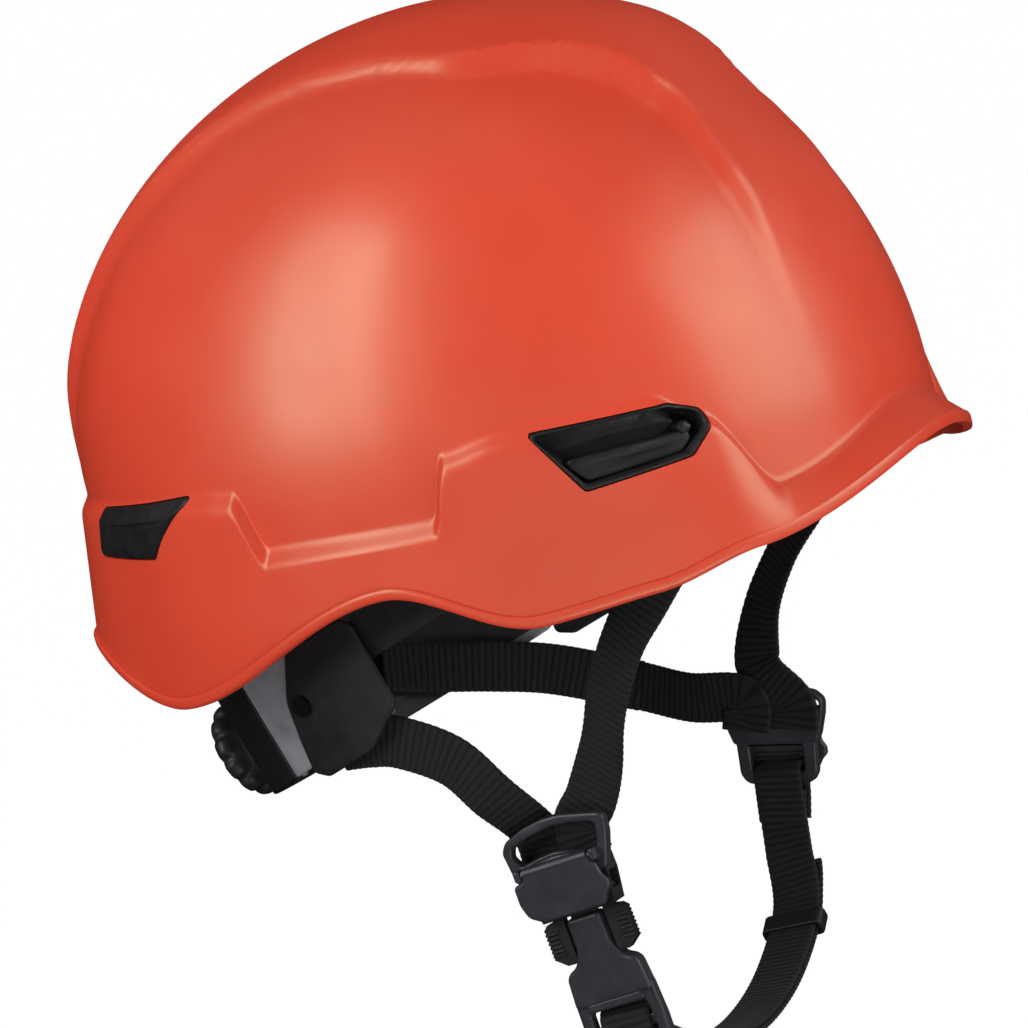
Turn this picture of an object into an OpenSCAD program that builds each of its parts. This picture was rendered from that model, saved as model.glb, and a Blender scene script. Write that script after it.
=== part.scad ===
// Climbing helmet with a moulded shell, textile cradle, ratchet head band and chin strap.
// X points forward, Y to the wearer's left, Z up. The origin is the middle of the head space.
// Lengths are millimetres.

/* [Shell] */
// Distance from the crown's axis to the front wall
shell_front = 116.5; // [110:0.5:126]
// Distance from the crown's axis to the rear wall
shell_rear = 124; // [115:1:132]
// Half of the shell's width at the walls
shell_side = 105; // [98:1:112]
// Height of the crown above the origin
crown_z = 111; // [104:1:118]
// Wall thickness of the shell
wall = 2.8; // [2.4:0.1:3.4]
// Height of the raised band running over the crown
crest_h = 3.5; // [2:0.1:4.5]
// Half width of the raised band over the crown
crest_w = 45; // [36:1:52]
// Step of the skirt below the dome
skirt_step = 3; // [2:0.1:4]
// How far the brim stands out at the front
brim = 10; // [4:1:16]

/* [Padding and cradle] */
// Thickness of the foam liner in the crown
liner_t = 12; // [8:1:15]
// Width of the cradle straps over the head
cradle_w = 20; // [16:1:22]
// Thickness of the brow pad
brow_pad_t = 5; // [3:0.5:6]

/* [Head band] */
// Backward tilt of the band's plane, in degrees
band_tilt = 18.5; // [16:0.5:20]
// Half length of the band's front, from its centre
band_front = 112; // [106:1:114]
// Radius of the right arm's inner face
arm_r = 76.2; // [75.8:0.1:76.4]
// Thickness of each arm
arm_t = 1.5; // [1.2:0.1:1.6]

/* [Ratchet] */
// Pitch radius of the pinion
pinion_r = 5.3; // [5.2:0.1:5.4]
// Number of teeth on the pinion
pinion_teeth = 8; // [8:1:8]
// Radius of the adjusting knob
knob_r = 14.5; // [12:0.5:16]

/* [Webbing and buckle] */
// Width of the chin strap webbing
web_w = 15; // [13:1:15]
// Thickness of the webbing
web_t = 1.6; // [1.2:0.1:1.7]
// How far each strap divider is from the middle plane
yoke_y = 77; // [75:1:79]

/* [Hidden] */
$fn = 48;

shell_red = [0.86, 0.27, 0.17];
plastic_black = [0.09, 0.09, 0.1];
plastic_grey = [0.38, 0.4, 0.43];
web_black = [0.06, 0.06, 0.06];

// ---- smooth curves ----

function ease(t) = let (c = min(1, max(0, t))) c * c * (3 - 2 * c);

// Value at x of a curve that eases from one [x, value] key to the next.
function keyed(x, keys, i = 0) =
    x <= keys[0][0] ? keys[0][1]
    : i > len(keys) - 2 ? keys[len(keys) - 1][1]
    : x <= keys[i + 1][0]
        ? keys[i][1] + (keys[i + 1][1] - keys[i][1])
            * ease((x - keys[i][0]) / (keys[i + 1][0] - keys[i][0]))
    : keyed(x, keys, i + 1);

function mix(a, b, t) = a + (b - a) * t;

function unit(v) = v / norm(v);

// Catmull-Rom point at t in [0, 1] of the stretch from p[i] to p[i + 1].
function spline_at(p, i, t) = let (
    n = len(p) - 1,
    a = p[max(0, i - 1)], b = p[i], c = p[min(n, i + 1)], d = p[min(n, i + 2)])
    0.5 * ((2 * b) + (c - a) * t + (2 * a - 5 * b + 4 * c - d) * t * t
        + (3 * b - a - 3 * c + d) * t * t * t);

function spline(p, steps) = [
    for (i = [0:len(p) - 2], k = [0:steps - 1]) spline_at(p, i, k / steps),
    p[len(p) - 1]];

// ---- shell surface ----

axis_x = 3;              // x of the crown's vertical axis
plan_power = 2.2;        // squareness of the shell seen from above
rim_lip = 1.2;           // how far the lip at the rim stands out
rim_lip_h = 3.4;         // height of that lip
ledge_h = 4;             // height of the sloped ledge above the skirt
columns = 96;
dome_rows = 15;
inner_rows = 9;
skirt_rows = 4;

// Keys run from the front, 0 degrees, round either side to the back, 180.
rim_keys = [[0, -33], [36, -44.5], [50, -48.8], [66, -50], [88, -34], [129, -55.5], [158, -38],
    [180, -35]];
out_keys = [[0, brim], [30, brim - 3], [55, 4], [90, 3.2], [130, 4], [158, 8], [180, 8]];
ledge_keys = [[0, -20], [29, -30], [38, -6], [44, 2], [66, 3], [74, 1], [78, -16],
    [106, -15], [110, 2], [115, 3], [180, 4]];
step_keys = [[0, 0.8], [24, 1.5], [36, skirt_step], [180, skirt_step]];
crest_keys = [[-130, crest_w], [30, crest_w], [78, crest_w - 21], [84, crest_w - 23],
    [100, crest_w - 17], [112, crest_w - 11], [125, crest_w - 7]];
crest_soft = 5;          // width over which the crest's edges fade
rise_keys = [[20, crest_h], [72, crest_h + 4], [97, crest_h - 0.3], [112, crest_h - 2.3]];

function around(a) = abs(a > 180 ? a - 360 : a);
function plan_r(a) = let (end = cos(a) >= 0 ? shell_front : shell_rear)
    pow(pow(abs(cos(a)) / end, plan_power) + pow(abs(sin(a)) / shell_side, plan_power),
        -1 / plan_power);
function front_share(a) = pow(max(0, cos(a)), 2);
function rear_share(a) = pow(max(0, -cos(a)), 2);
function by_side(a, front, side, rear) =
    front * front_share(a) + rear * rear_share(a)
    + side * (1 - front_share(a) - rear_share(a));
function wall_top(a) = by_side(a, -18, -10, 10);
function dome_power(a) = by_side(a, 1.97, 2.1, 1.88);

// Distance of the smooth dome from the axis at angle a and height z, brought in by inset.
function dome_r(a, z, inset = 0) = let (
    t = min(1, max(0, (z - wall_top(a)) / (crown_z - inset - wall_top(a)))))
    (plan_r(a) - inset) * pow(1 - pow(t, dome_power(a)), 1 / dome_power(a));

function place(a, r, z) = [axis_x + r * cos(a), r * sin(a), z];

function crest_rise(p) = keyed(p[0], rise_keys) * ease(p[2] / 45)
    * ease((keyed(p[0], crest_keys) - abs(p[1])) / crest_soft + 0.5);
function with_crest(p) = p + crest_rise(p) * unit(p - [axis_x, 0, 0]);

function rim_z(a) = keyed(around(a), rim_keys);
function ledge_z(a) = keyed(around(a), ledge_keys);
function skirt_z0(a) = ledge_z(a) - ledge_h * step_at(a) / skirt_step;
function step_at(a) = keyed(around(a), step_keys);
function skirt_z(a, s) = mix(skirt_z0(a), rim_z(a) + rim_lip_h, s);
function skirt_out(a, s) = mix(step_at(a), keyed(around(a), out_keys), s);
function skirt_point(a, s, inset = 0) = let (
    z = skirt_z(a, s),
    run = [dome_r(a, skirt_z(a, 1)) + skirt_out(a, 1) - dome_r(a, skirt_z(a, 0)) - step_at(a),
        skirt_z(a, 1) - skirt_z(a, 0)],
    d = unit(run))
    [dome_r(a, z) + skirt_out(a, s) + d[1] * inset, z - d[0] * inset];

// Rows of one upright slice, from just outside the crown down, round the rim and up inside.
function slice(a) = let (top = ledge_z(a), lip = skirt_point(a, 1)) concat(
    [for (i = [1:dome_rows]) let (h = crown_z - (crown_z - top) * pow(i / dome_rows, 1.7))
        with_crest(place(a, dome_r(a, h), h))],
    [for (i = [0:skirt_rows]) let (q = skirt_point(a, i / skirt_rows)) place(a, q[0], q[1])],
    [place(a, lip[0] + rim_lip, lip[1] - 1),
        place(a, lip[0] + rim_lip, lip[1] - rim_lip_h + 0.6),
        place(a, lip[0] - wall, lip[1] - rim_lip_h)],
    [for (i = [skirt_rows:-1:0]) let (q = skirt_point(a, i / skirt_rows, wall))
        place(a, q[0], q[1])],
    [for (i = [inner_rows:-1:1]) let (
        h = crown_z - wall - (crown_z - wall - top) * pow(i / inner_rows, 1.7))
        place(a, dome_r(a, h, wall), h)]);

// Closed skin from rings of equal length, with a pole at each end.
module rings_between_poles(rings, first_pole, last_pole) {
    n = len(rings[0]);
    m = len(rings);
    last = 1 + n * m;
    polyhedron(
        points = concat([first_pole], [for (ring = rings) each ring], [last_pole]),
        faces = concat(
            [for (j = [0:n - 1]) [0, 1 + (j + 1) % n, 1 + j]],
            [for (i = [0:m - 2], j = [0:n - 1])
                [1 + i * n + j, 1 + i * n + (j + 1) % n, 1 + (i + 1) * n + j]],
            [for (i = [0:m - 2], j = [0:n - 1])
                [1 + i * n + (j + 1) % n, 1 + (i + 1) * n + (j + 1) % n, 1 + (i + 1) * n + j]],
            [for (j = [0:n - 1])
                [last, 1 + (m - 1) * n + j, 1 + (m - 1) * n + (j + 1) % n]]));
}

// ---- places on the shell ----

slot_angle = 49.5;         // angle round the shell of the accessory slots
slot_z = -8;
clip_angle = 130;        // angle round the shell of the rear clips
clip_z = -6;

function skin_heading(a) = let (
    p = place(a, dome_r(a, slot_z), 0), q = place(a - 1, dome_r(a - 1, slot_z), 0))
    atan2(q[1] - p[1], q[0] - p[0]);

// Local X runs forward along the skin, Y out of it, Z up. Side is 1 for left, -1 for right.
module on_skin(side, a, z) {
    p = place(a, dome_r(a, z) + skirt_step, z);
    mirror([0, side < 0 ? 1 : 0, 0])
        translate(p) rotate([0, 0, skin_heading(a)]) children();
}

// Upright prism through the skin with the rounded outline of an accessory slot.
module slot_prism(grow, from_y, to_y) {
    corners = [[-23, 8, 1], [15, 5.5, 1.5], [22, 0, 4], [17, -6.5, 1.5], [-12, -8, 1.5]];
    hull() for (c = corners)
        translate([c[0] + sign(c[0]) * grow, from_y, c[1] + sign(c[1]) * grow])
            rotate([-90, 0, 0]) cylinder(r = c[2], h = to_y - from_y, $fn = 24);
}

// The rear clip's outline, a block whose front edge sweeps up to a point.
module clip_prism(grow, from_y, to_y) {
    body = [[-22, 7], [6, 8], [5, -7], [-22, -7]];
    horn = [[4, 8], [25, 8.5], [10, -1], [4, -4]];
    for (part = [body, horn]) hull() for (c = part)
        translate([c[0], from_y, c[1]]) rotate([-90, 0, 0])
            cylinder(r = 1 + grow, h = to_y - from_y, $fn = 16);
}

// ---- shell and its inserts ----

cross_angle = 67;        // angle of the crossing cradle straps from the middle plane
anchor_angles = [0, cross_angle, 180 - cross_angle, 180, 180 + cross_angle, -cross_angle];
anchor_z = 8;

module shell() {
    slices = [for (j = [0:columns - 1]) slice(360 * j / columns)];
    rows = len(slices[0]);
    color(shell_red) difference() {
        rings_between_poles(
            [for (i = [0:rows - 1]) [for (j = [0:columns - 1]) slices[j][i]]],
            with_crest([axis_x, 0, crown_z]), [axis_x, 0, crown_z - wall]);
        for (side = [-1, 1]) {
            on_skin(side, slot_angle, slot_z) slot_prism(0.3, -15, 6);
            on_skin(side, clip_angle, clip_z) clip_prism(0.2, -15, 6);
        }
        anchor_seats();
    }
}

// Flat-sided stub that locates a cradle anchor, along X.
module anchor_stub(length, r) {
    hull() for (y = [-4, 4])
        translate([0, y, 0]) rotate([0, 90, 0]) cylinder(r = r, h = length, $fn = 16);
}

// Shallow seats on the inside of the wall, one for each anchor's stub.
module anchor_seats() {
    for (a = anchor_angles)
        translate(place(a, dome_r(a, anchor_z, wall) - 4, anchor_z))
            rotate([0, 0, a]) anchor_stub(4.5, 4);
}

module slot_insert(side) {
    color(plastic_black) on_skin(side, slot_angle, slot_z) difference() {
        slot_prism(0, -11, -3.2);
        slot_prism(-1.8, -9, 0);
    }
}

module rear_clip(side) {
    color(plastic_black) on_skin(side, clip_angle, clip_z) clip_prism(0, -8, -2.8);
}

// ---- padding and textile cradle ----

liner_gap = 1.2;
liner_z = 34;            // lower edge of the liner
liner_rows = 7;
liner_columns = 48;

function liner_ring(inset, h) = [for (j = [0:liner_columns - 1])
    let (a = 360 * j / liner_columns) place(a, dome_r(a, h, inset), h)];

module impact_liner() {
    out = wall + liner_gap;
    in = out + liner_t;
    color([0.13, 0.13, 0.14]) rings_between_poles(concat(
        [for (i = [1:liner_rows]) let (top = crown_z - out)
            liner_ring(out, top - (top - liner_z) * pow(i / liner_rows, 1.7))],
        [for (i = [liner_rows:-1:1]) let (top = crown_z - in)
            liner_ring(in, top - (top - liner_z) * pow(i / liner_rows, 1.7))]),
        [axis_x, 0, crown_z - out], [axis_x, 0, crown_z - in]);
}

// Flat band swept along centre points, its face turned towards the matching normals.
module ribbon(points, normals, width, thickness) {
    last = len(points) - 1;
    rings = [for (i = [0:last]) let (
        along = unit(points[min(last, i + 1)] - points[max(0, i - 1)]),
        across = unit(cross(normals[i], along)),
        face = cross(along, across),
        w = across * width / 2, t = face * thickness / 2, p = points[i])
        [p - w - t, p + w - t, p + w + t, p - w + t]];
    end = 4 * last;
    polyhedron(
        points = [for (ring = rings) each ring],
        faces = concat(
            [[0, 1, 2], [0, 2, 3], [end + 2, end + 1, end], [end + 3, end + 2, end]],
            [for (i = [0:last - 1], k = [0:3]) let (b = 4 * i, n = (k + 1) % 4)
                [b + n, b + k, b + 4 + k]],
            [for (i = [0:last - 1], k = [0:3]) let (b = 4 * i, n = (k + 1) % 4)
                [b + n, b + 4 + k, b + 4 + n]]));
}

cradle_inset = wall + liner_gap + liner_t + 3.4;
cradle_t = 1.4;
cradle_gap = 2.2;        // between the middles of two straps that cross
cradle_steps = 24;
cradle_end_z = 12;
anchor_in = 1.6;         // how far the anchors' inner faces are outside the straps' middles

// Point on the strap's arch at t from -1 to 1, in the upright plane at angle a.
function arch(a, t, drop) = let (
    dir = t < 0 ? a + 180 : a,
    top = crown_z - cradle_inset - drop,
    h = mix(top, cradle_end_z, 1 - cos(90 * abs(t))))
    place(dir, dome_r(dir, h + drop, cradle_inset), h);

module cradle_strap(a, layer) {
    ts = [for (i = [0:cradle_steps]) 2 * i / cradle_steps - 1];
    points = [for (t = ts) arch(a, t, layer * cradle_gap)];
    color(web_black) ribbon(points, [for (p = points) unit(p - [axis_x, 0, 0])],
        cradle_w, cradle_t);
}

// Hooks that carry the strap ends on the shell's inner wall.
module cradle_anchors() {
    color(plastic_black) for (a = anchor_angles) {
        wall_r = dome_r(a, anchor_z, wall);
        outer = wall_r - 3.2;
        inner = dome_r(a, anchor_z, cradle_inset) + anchor_in;
        translate([axis_x, 0, 0]) rotate([0, 0, a]) difference() {
            union() {
                translate([inner, -12, anchor_z - 12]) cube([outer - inner, 24, 16]);
                translate([outer - 0.5, 0, anchor_z]) anchor_stub(wall_r + 0.2 - outer + 0.5, 3.6);
            }
            translate([inner + 2, -9.5, anchor_z - 13]) cube([outer - inner - 4, 19, 12]);
        }
    }
}

module crown_pad() {
    top = crown_z - cradle_inset - 2 * cradle_gap - cradle_t;
    pad_r = 27;
    pad_t = 4;
    sag = 4.6;           // how far the straps fall away over the pad's radius
    color([0.2, 0.2, 0.21]) translate([axis_x, 0, top - sag - pad_t]) {
        cylinder(r = pad_r, h = pad_t);
        translate([0, 0, -2]) cylinder(r = pad_r - 4, h = 2);
    }
}

// ---- head band ----

ring_centre = [-19, 0, -54.7];
band_side = 81.6;        // half width of the front band's middle line
band_t = 1.6;
band_half = 32;          // segments of the front half ellipse
side_low = 1;            // lower edge of the band at the temples
left_arm_r = arm_r + arm_t + 0.5;
tooth_turn = 360 / pinion_teeth;
arm_end = 20;            // how far each arm passes the middle of the back, in degrees

// Local X points forward and up along the band's plane, Z square to it.
module in_ring() {
    translate(ring_centre) rotate([0, -band_tilt, 0]) children();
}

function oval(a, grow) = [(band_front + grow) * cos(a), (band_side + grow) * sin(a)];

// Upright wall that follows the front half of the band between two offsets.
module oval_wall(from_a, to_a, grow_in, grow_out, z0, z1) {
    as = [for (i = [0:band_half]) mix(from_a, to_a, i / band_half)];
    translate([0, 0, z0]) linear_extrude(z1 - z0) polygon(concat(
        [for (a = as) oval(a, grow_out)],
        [for (i = [band_half:-1:0]) oval(as[i], grow_in)]));
}

// Wall on the round rear half of the band, square in section.
module arc_wall(from_a, to_a, r0, r1, z0, z1) {
    rotate_extrude(angle = to_a - from_a, start = from_a, $fn = 120)
        translate([r0, z0]) square([r1 - r0, z1 - z0]);
}

// Deep across the brow and narrower at the temples.
module head_band_front() {
    color(plastic_black) in_ring() {
        oval_wall(-88, 88, -band_t / 2, band_t / 2, side_low, 14);
        oval_wall(-60, 60, -band_t / 2, band_t / 2, -11, side_low + 1);
    }
}

module brow_pad() {
    color([0.12, 0.12, 0.13]) in_ring()
        oval_wall(-52, 52, -band_t / 2 - 0.4 - brow_pad_t, -band_t / 2 - 0.4, -12, 16);
}

// World place of a point given in the band's frame.
function from_ring(p) = ring_centre + [p[0] * cos(band_tilt) - p[2] * sin(band_tilt), p[1],
    p[0] * sin(band_tilt) + p[2] * cos(band_tilt)];

// Direction straight away from the axis of the band's round rear, at a world point.
function out_of_ring(p) = let (
    q = p - ring_centre,
    x = q[0] * cos(band_tilt) + q[2] * sin(band_tilt))
    unit([x * cos(band_tilt), q[1], x * sin(band_tilt)]);

hanger_w = 11;
hanger_t = 1.6;
hanger_gap = 0.3;        // room left between a hanger and what it is clipped to

// Each hanger runs up the band's face and across to a cradle anchor: [band angle, shell angle].
hanger_places = [[0, 0], [-58, -cross_angle], [58, cross_angle]];

module band_hangers() {
    off = band_t / 2 + hanger_gap + hanger_t / 2;
    color(plastic_black) for (place_pair = hanger_places) {
        on_band = concat(oval(place_pair[0], off), [0]);
        a = place_pair[1];
        r = dome_r(a, anchor_z, cradle_inset) + anchor_in - hanger_gap - hanger_t / 2;
        points = [from_ring(on_band + [0, 0, -6]), from_ring(on_band + [0, 0, 12]),
            place(a, r, -1), place(a, r, 8)];
        ribbon(points, [for (i = [0:3]) [cos(a), sin(a), 0]], hanger_w, hanger_t);
    }
}

arm_half_h = 10.7;       // half height of the arm's toothed tail
arm_wide_h = 13;         // half height of the arm at the sides
slot_half_h = 6.7;
rack_tip = 4.5;          // distance of the tooth tips from the slot's middle
rack_pitch = 360 * pinion_r / pinion_teeth;

// Arm of the band: a wide side that narrows to a slotted tail with teeth on one edge.
module band_arm(side, r) {
    up = side < 0 ? 1 : -1;
    pitch = rack_pitch / (r + arm_t / 2);
    mirror([0, side < 0 ? 1 : 0, 0]) difference() {
        union() {
            arc_wall(85, 99, r, r + arm_t, side_low, arm_wide_h);
            arc_wall(98, 136, r, r + arm_t, -arm_wide_h, arm_wide_h);
            arc_wall(135, 180 + arm_end, r, r + arm_t, -arm_half_h, arm_half_h);
        }
        difference() {
            arc_wall(157.4, 197.4, r - 1, r + arm_t + 1, -slot_half_h, slot_half_h);
            for (i = [-6:5]) rotate([0, 0, 180 + (i - 0.5) * pitch])
                translate([r + arm_t / 2, 0, up * (rack_tip + 1.5)])
                    cube([arm_t + 4, 1.5, 3], center = true);
        }
    }
}

module band_arm_right() {
    color(plastic_black) in_ring() band_arm(-1, arm_r);
}

module band_arm_left() {
    color(plastic_black) in_ring() band_arm(1, left_arm_r);
}

// ---- nape cradle and ratchet ----

cradle_r = left_arm_r + arm_t + 0.5;    // inner face of the outer plate
plate_t = 2;
anchor_t = 1.8;                         // thickness of the strap anchors' tabs
hub_r = 9;
back_r = arm_r - 0.5;                   // outer face of the inner plate

// Local Z points out of the back of the band, along the knob's axis.
module on_knob_axis(distance) {
    in_ring() rotate([0, -90, 0]) translate([0, 0, distance]) children();
}

screw_places = [for (a = [-21, 21], z = [-13.6, 13.6]) [a, z]];

module at_screws(distance) {
    in_ring() for (s = screw_places)
        rotate([0, 0, s[0]]) rotate([0, -90, 0]) translate([s[1], 0, distance]) children();
}

module nape_cradle() {
    wing_tip = 26;
    color(plastic_grey) difference() {
        in_ring() {
            arc_wall(154, 206, cradle_r, cradle_r + plate_t, -16.5, 16.5);
            for (side = [-1, 1]) mirror([0, side < 0 ? 1 : 0, 0])
                for (k = [0:5])
                    arc_wall(91 + 3 * k, 154.5, cradle_r, cradle_r + plate_t,
                        wing_tip - 7 * (k + 1), wing_tip - 7 * k);
        }
        on_knob_axis(cradle_r - 5) cylinder(r = hub_r, h = 20);
        at_screws(cradle_r - 5) cylinder(r = 1.25, h = 20);
    }
}

module nape_backplate() {
    color(plastic_black) difference() {
        in_ring() arc_wall(156, 204, back_r - plate_t, back_r, -16.5, 16.5);
        on_knob_axis(back_r - 10) cylinder(r = 3.2, h = 20);
        at_screws(back_r - 10) cylinder(r = 1.25, h = 20);
    }
}

// Four screws through the plates above and below the arms' tails.
module cradle_screws() {
    color("silver") at_screws(back_r - plate_t - 1.6) {
        cylinder(r = 1.2, h = cradle_r + plate_t + 1.2 - back_r + plate_t, $fn = 24);
        cylinder(r = 2.4, h = 1.4, $fn = 24);
    }
}

module nape_pad() {
    outer = back_r - plate_t - 2;
    color([0.12, 0.12, 0.13]) in_ring() arc_wall(155, 205, outer - 6, outer, -15, 15);
}

anchor_r = cradle_r + plate_t + 3.2;    // inner face of the strap anchors
anchor_turn = 104.6;                    // place of their rivets, in degrees round the band

// Tab over each wing's front edge, on a short post, that covers the end of a rear strap.
module strap_anchor(side) {
    low = -21;
    row = 7.2;
    color(plastic_black) in_ring() mirror([0, side < 0 ? 1 : 0, 0]) difference() {
        union() {
            for (k = [0:4])
                arc_wall(k == 0 ? 94 : 86, 112 - 2.3 * k, anchor_r, anchor_r + anchor_t,
                    low + row * k, low + row * (k + 1));
            rotate([0, 0, anchor_turn]) translate([cradle_r + plate_t + 0.3, 0, 0])
                rotate([0, 90, 0]) cylinder(r = 2.4, h = 3.6, $fn = 32);
        }
        rotate([0, 0, anchor_turn]) translate([cradle_r, 0, 0]) rotate([0, 90, 0])
            cylinder(r = 1.2, h = 9, $fn = 24);
    }
}

housing_r = 12.5;
housing_z = cradle_r + plate_t + 0.1;
housing_h = 5.5;
detents = 24;

module ratchet_housing() {
    ring_r = housing_r - 2;
    color(plastic_black) on_knob_axis(housing_z) difference() {
        cylinder(r = housing_r, h = housing_h);
        translate([0, 0, -1]) cylinder(r = hub_r, h = housing_h + 2);
        for (i = [0:detents - 1]) rotate([0, 0, i * 360 / detents])
            translate([ring_r - 1, 0, 2]) cylinder(r = 0.9, h = housing_h, $fn = 13);
    }
}

knob_z = housing_z + housing_h + 0.6;
knob_h = 9;

module ratchet_knob() {
    grips = 12;
    color(plastic_black) on_knob_axis(knob_z) difference() {
        union() {
            rotate_extrude($fn = 96) polygon([[3.1, 0], [knob_r - 5, 0], [knob_r - 4.5, 2],
                [knob_r - 1, 5], [knob_r, 6.5], [knob_r, knob_h - 1], [knob_r - 1, knob_h],
                [knob_r - 3, knob_h - 0.6], [knob_r - 8, 4.6], [3.1, 3.6]]);
            translate([0, 0, -(knob_z - housing_z) - 1.5]) difference() {
                cylinder(r = hub_r - 1.4, h = knob_z - housing_z + 1.6);
                translate([0, 0, -1]) cylinder(r = 3.1, h = 12);
            }
        }
        for (i = [0:grips - 1]) rotate([0, 0, i * 360 / grips])
            translate([knob_r + 1.3, 0, 4]) cylinder(r = 2.4, h = 9, $fn = 24);
    }
}

// Leaf ring on the knob's hub whose tips click into the housing's detents.
module detent_spring() {
    color("dimgray") on_knob_axis(housing_z + 2.4) for (turn = [0, 180]) rotate([0, 0, turn]) {
        rotate_extrude(angle = 110, start = 20)
            translate([hub_r - 1.3, 0]) square([0.7, 2.6]);
        rotate([0, 0, 75]) translate([hub_r - 0.5, 0, 0]) cylinder(r = 0.42, h = 2.6, $fn = 16);
    }
}

module ratchet_pinion() {
    front = back_r + 0.2;
    length = cradle_r - 0.2 - front;
    root_r = pinion_r - 1.5;
    tip_r = pinion_r + 0.9;
    shaft_z = knob_z + 3.4;
    half_tooth = 0.6;
    tooth = [[root_r, -half_tooth], [tip_r, -half_tooth], [tip_r, half_tooth],
        [root_r, half_tooth]];
    color("dimgray") on_knob_axis(front) difference() {
        union() {
            linear_extrude(length) polygon([for (i = [0:pinion_teeth - 1], q = tooth)
                let (a = i * tooth_turn)
                [q[0] * cos(a) - q[1] * sin(a), q[0] * sin(a) + q[1] * cos(a)]]);
            translate([0, 0, length - 1]) cylinder(r = 3, h = shaft_z - front - length + 1);
        }
        translate([0, 0, -1]) cylinder(r = 1.3, h = shaft_z, $fn = 24);
    }
}

module knob_screw() {
    head = back_r - 0.4;
    color("silver") on_knob_axis(head) {
        translate([0, 0, -1.8]) cylinder(r = 2.6, h = 1.8, $fn = 32);
        cylinder(r = 1.25, h = knob_z + 2 - head, $fn = 24);
    }
}

// ---- strap dividers ----

yoke_pitch = [7, -8];                   // forward tilt of the right and left dividers
yoke_x = 20.8;
yoke_z = [-113, -115];                  // heights of the right and left dividers
frame_w = 16.5;                         // half width of a divider
frame_t = 3.6;
window_w = 12.6;
pin_z = -5.4;
pin_y = frame_t / 2 + 1.7;
lever_drop = 19.5;                      // how far the lever reaches below the window's middle
loop_z = -21;                           // height of the left divider's lower bar

function side_of(side, pair) = pair[side < 0 ? 0 : 1];
function yoke_origin(side) = [yoke_x, side * yoke_y, side_of(side, yoke_z)];

// World place of a point given in a divider's frame: X forward, Y outward, Z up.
function at_yoke(side, p) = let (a = side_of(side, yoke_pitch))
    yoke_origin(side)
    + [p[0] * cos(a) - p[2] * sin(a), side * p[1], p[0] * sin(a) + p[2] * cos(a)];

module yoke_frame(side) {
    translate(yoke_origin(side)) rotate([0, -side_of(side, yoke_pitch), 0])
        mirror([0, side < 0 ? 1 : 0, 0]) children();
}

// Upright slab with rounded corners, centred on Y.
module slab(x0, x1, z0, z1, t, r) {
    translate([0, t / 2, 0]) rotate([90, 0, 0]) linear_extrude(t) {
        translate([x0 + r, z0]) square([x1 - x0 - 2 * r, z1 - z0]);
        translate([x0, z0 + r]) square([x1 - x0, z1 - z0 - 2 * r]);
        for (x = [x0 + r, x1 - r], z = [z0 + r, z1 - r]) translate([x, z]) circle(r = r);
    }
}

module yoke(side) {
    lug = 11.6;
    color(plastic_black) yoke_frame(side) difference() {
        union() {
            difference() {
                slab(-frame_w, frame_w, -7, 6.6, frame_t, 3);
                slab(-window_w, window_w, -2.6, 3.4, frame_t + 2, 1.5);
            }
            for (x = [-lug, lug]) translate([x - 1, 0, pin_z]) rotate([0, 90, 0])
                translate([-1.4, 0, 0]) cube([2.8, pin_y + 1.2, 2]);
            if (side > 0) {
                difference() {
                    slab(-12.5, 12.5, loop_z - 1.8, -6.5, 3.2, 2.4);
                    slab(-8.4, 8.4, loop_z + 1.8, -9, 6, 1.5);
                }
            }
        }
        translate([-20, pin_y, pin_z]) rotate([0, 90, 0]) cylinder(r = 0.8, h = 40, $fn = 24);
    }
}

module yoke_lever(side) {
    color(plastic_black) yoke_frame(side) difference() {
        union() {
            translate([-10.3, pin_y, pin_z]) rotate([0, 90, 0]) cylinder(r = 1.5, h = 20.6);
            translate([0, pin_y + 1.5, 0]) rotate([90, 0, 0]) linear_extrude(2)
                polygon([[-10.3, pin_z], [10.3, pin_z], [10.3, pin_z - 1.8], [13, pin_z - 4],
                    [12.6, -12], [9.5, -lever_drop], [-9.5, -lever_drop], [-12.6, -12],
                    [-13, pin_z - 4], [-10.3, pin_z - 1.8]]);
        }
        translate([-20, pin_y, pin_z]) rotate([0, 90, 0]) cylinder(r = 0.8, h = 40, $fn = 24);
    }
}

module lever_pins() {
    color("silver") for (side = [-1, 1]) yoke_frame(side)
        translate([-12.4, pin_y, pin_z]) rotate([0, 90, 0])
            cylinder(r = 0.75, h = 24.8, $fn = 24);
}

// ---- side-release buckle ----

socket_top = -7.3;
socket_end = -20.5;
socket_y = [-5.4, 1.4];
tongue_y = -2;                          // middle plane of the tongue and prongs
tongue_t = 2.8;
plug_shoulder = -34.4;
plug_end = -46;
ladder_end = -62.5;

module buckle_socket() {
    depth = socket_y[1] - socket_y[0];
    color(plastic_black) yoke_frame(-1) difference() {
        translate([0, socket_y[1], 0]) rotate([90, 0, 0]) linear_extrude(depth)
            polygon([[-13, socket_top], [13, socket_top], [13, -12], [11.6, socket_end],
                [-11.6, socket_end], [-13, -12]]);
        translate([-10.2, tongue_y - 2.3, socket_end - 1]) cube([20.4, 4.4, 11]);
        translate([-14, tongue_y - 2.3, -16.6]) cube([28, 4.4, 5]);
    }
}

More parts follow.
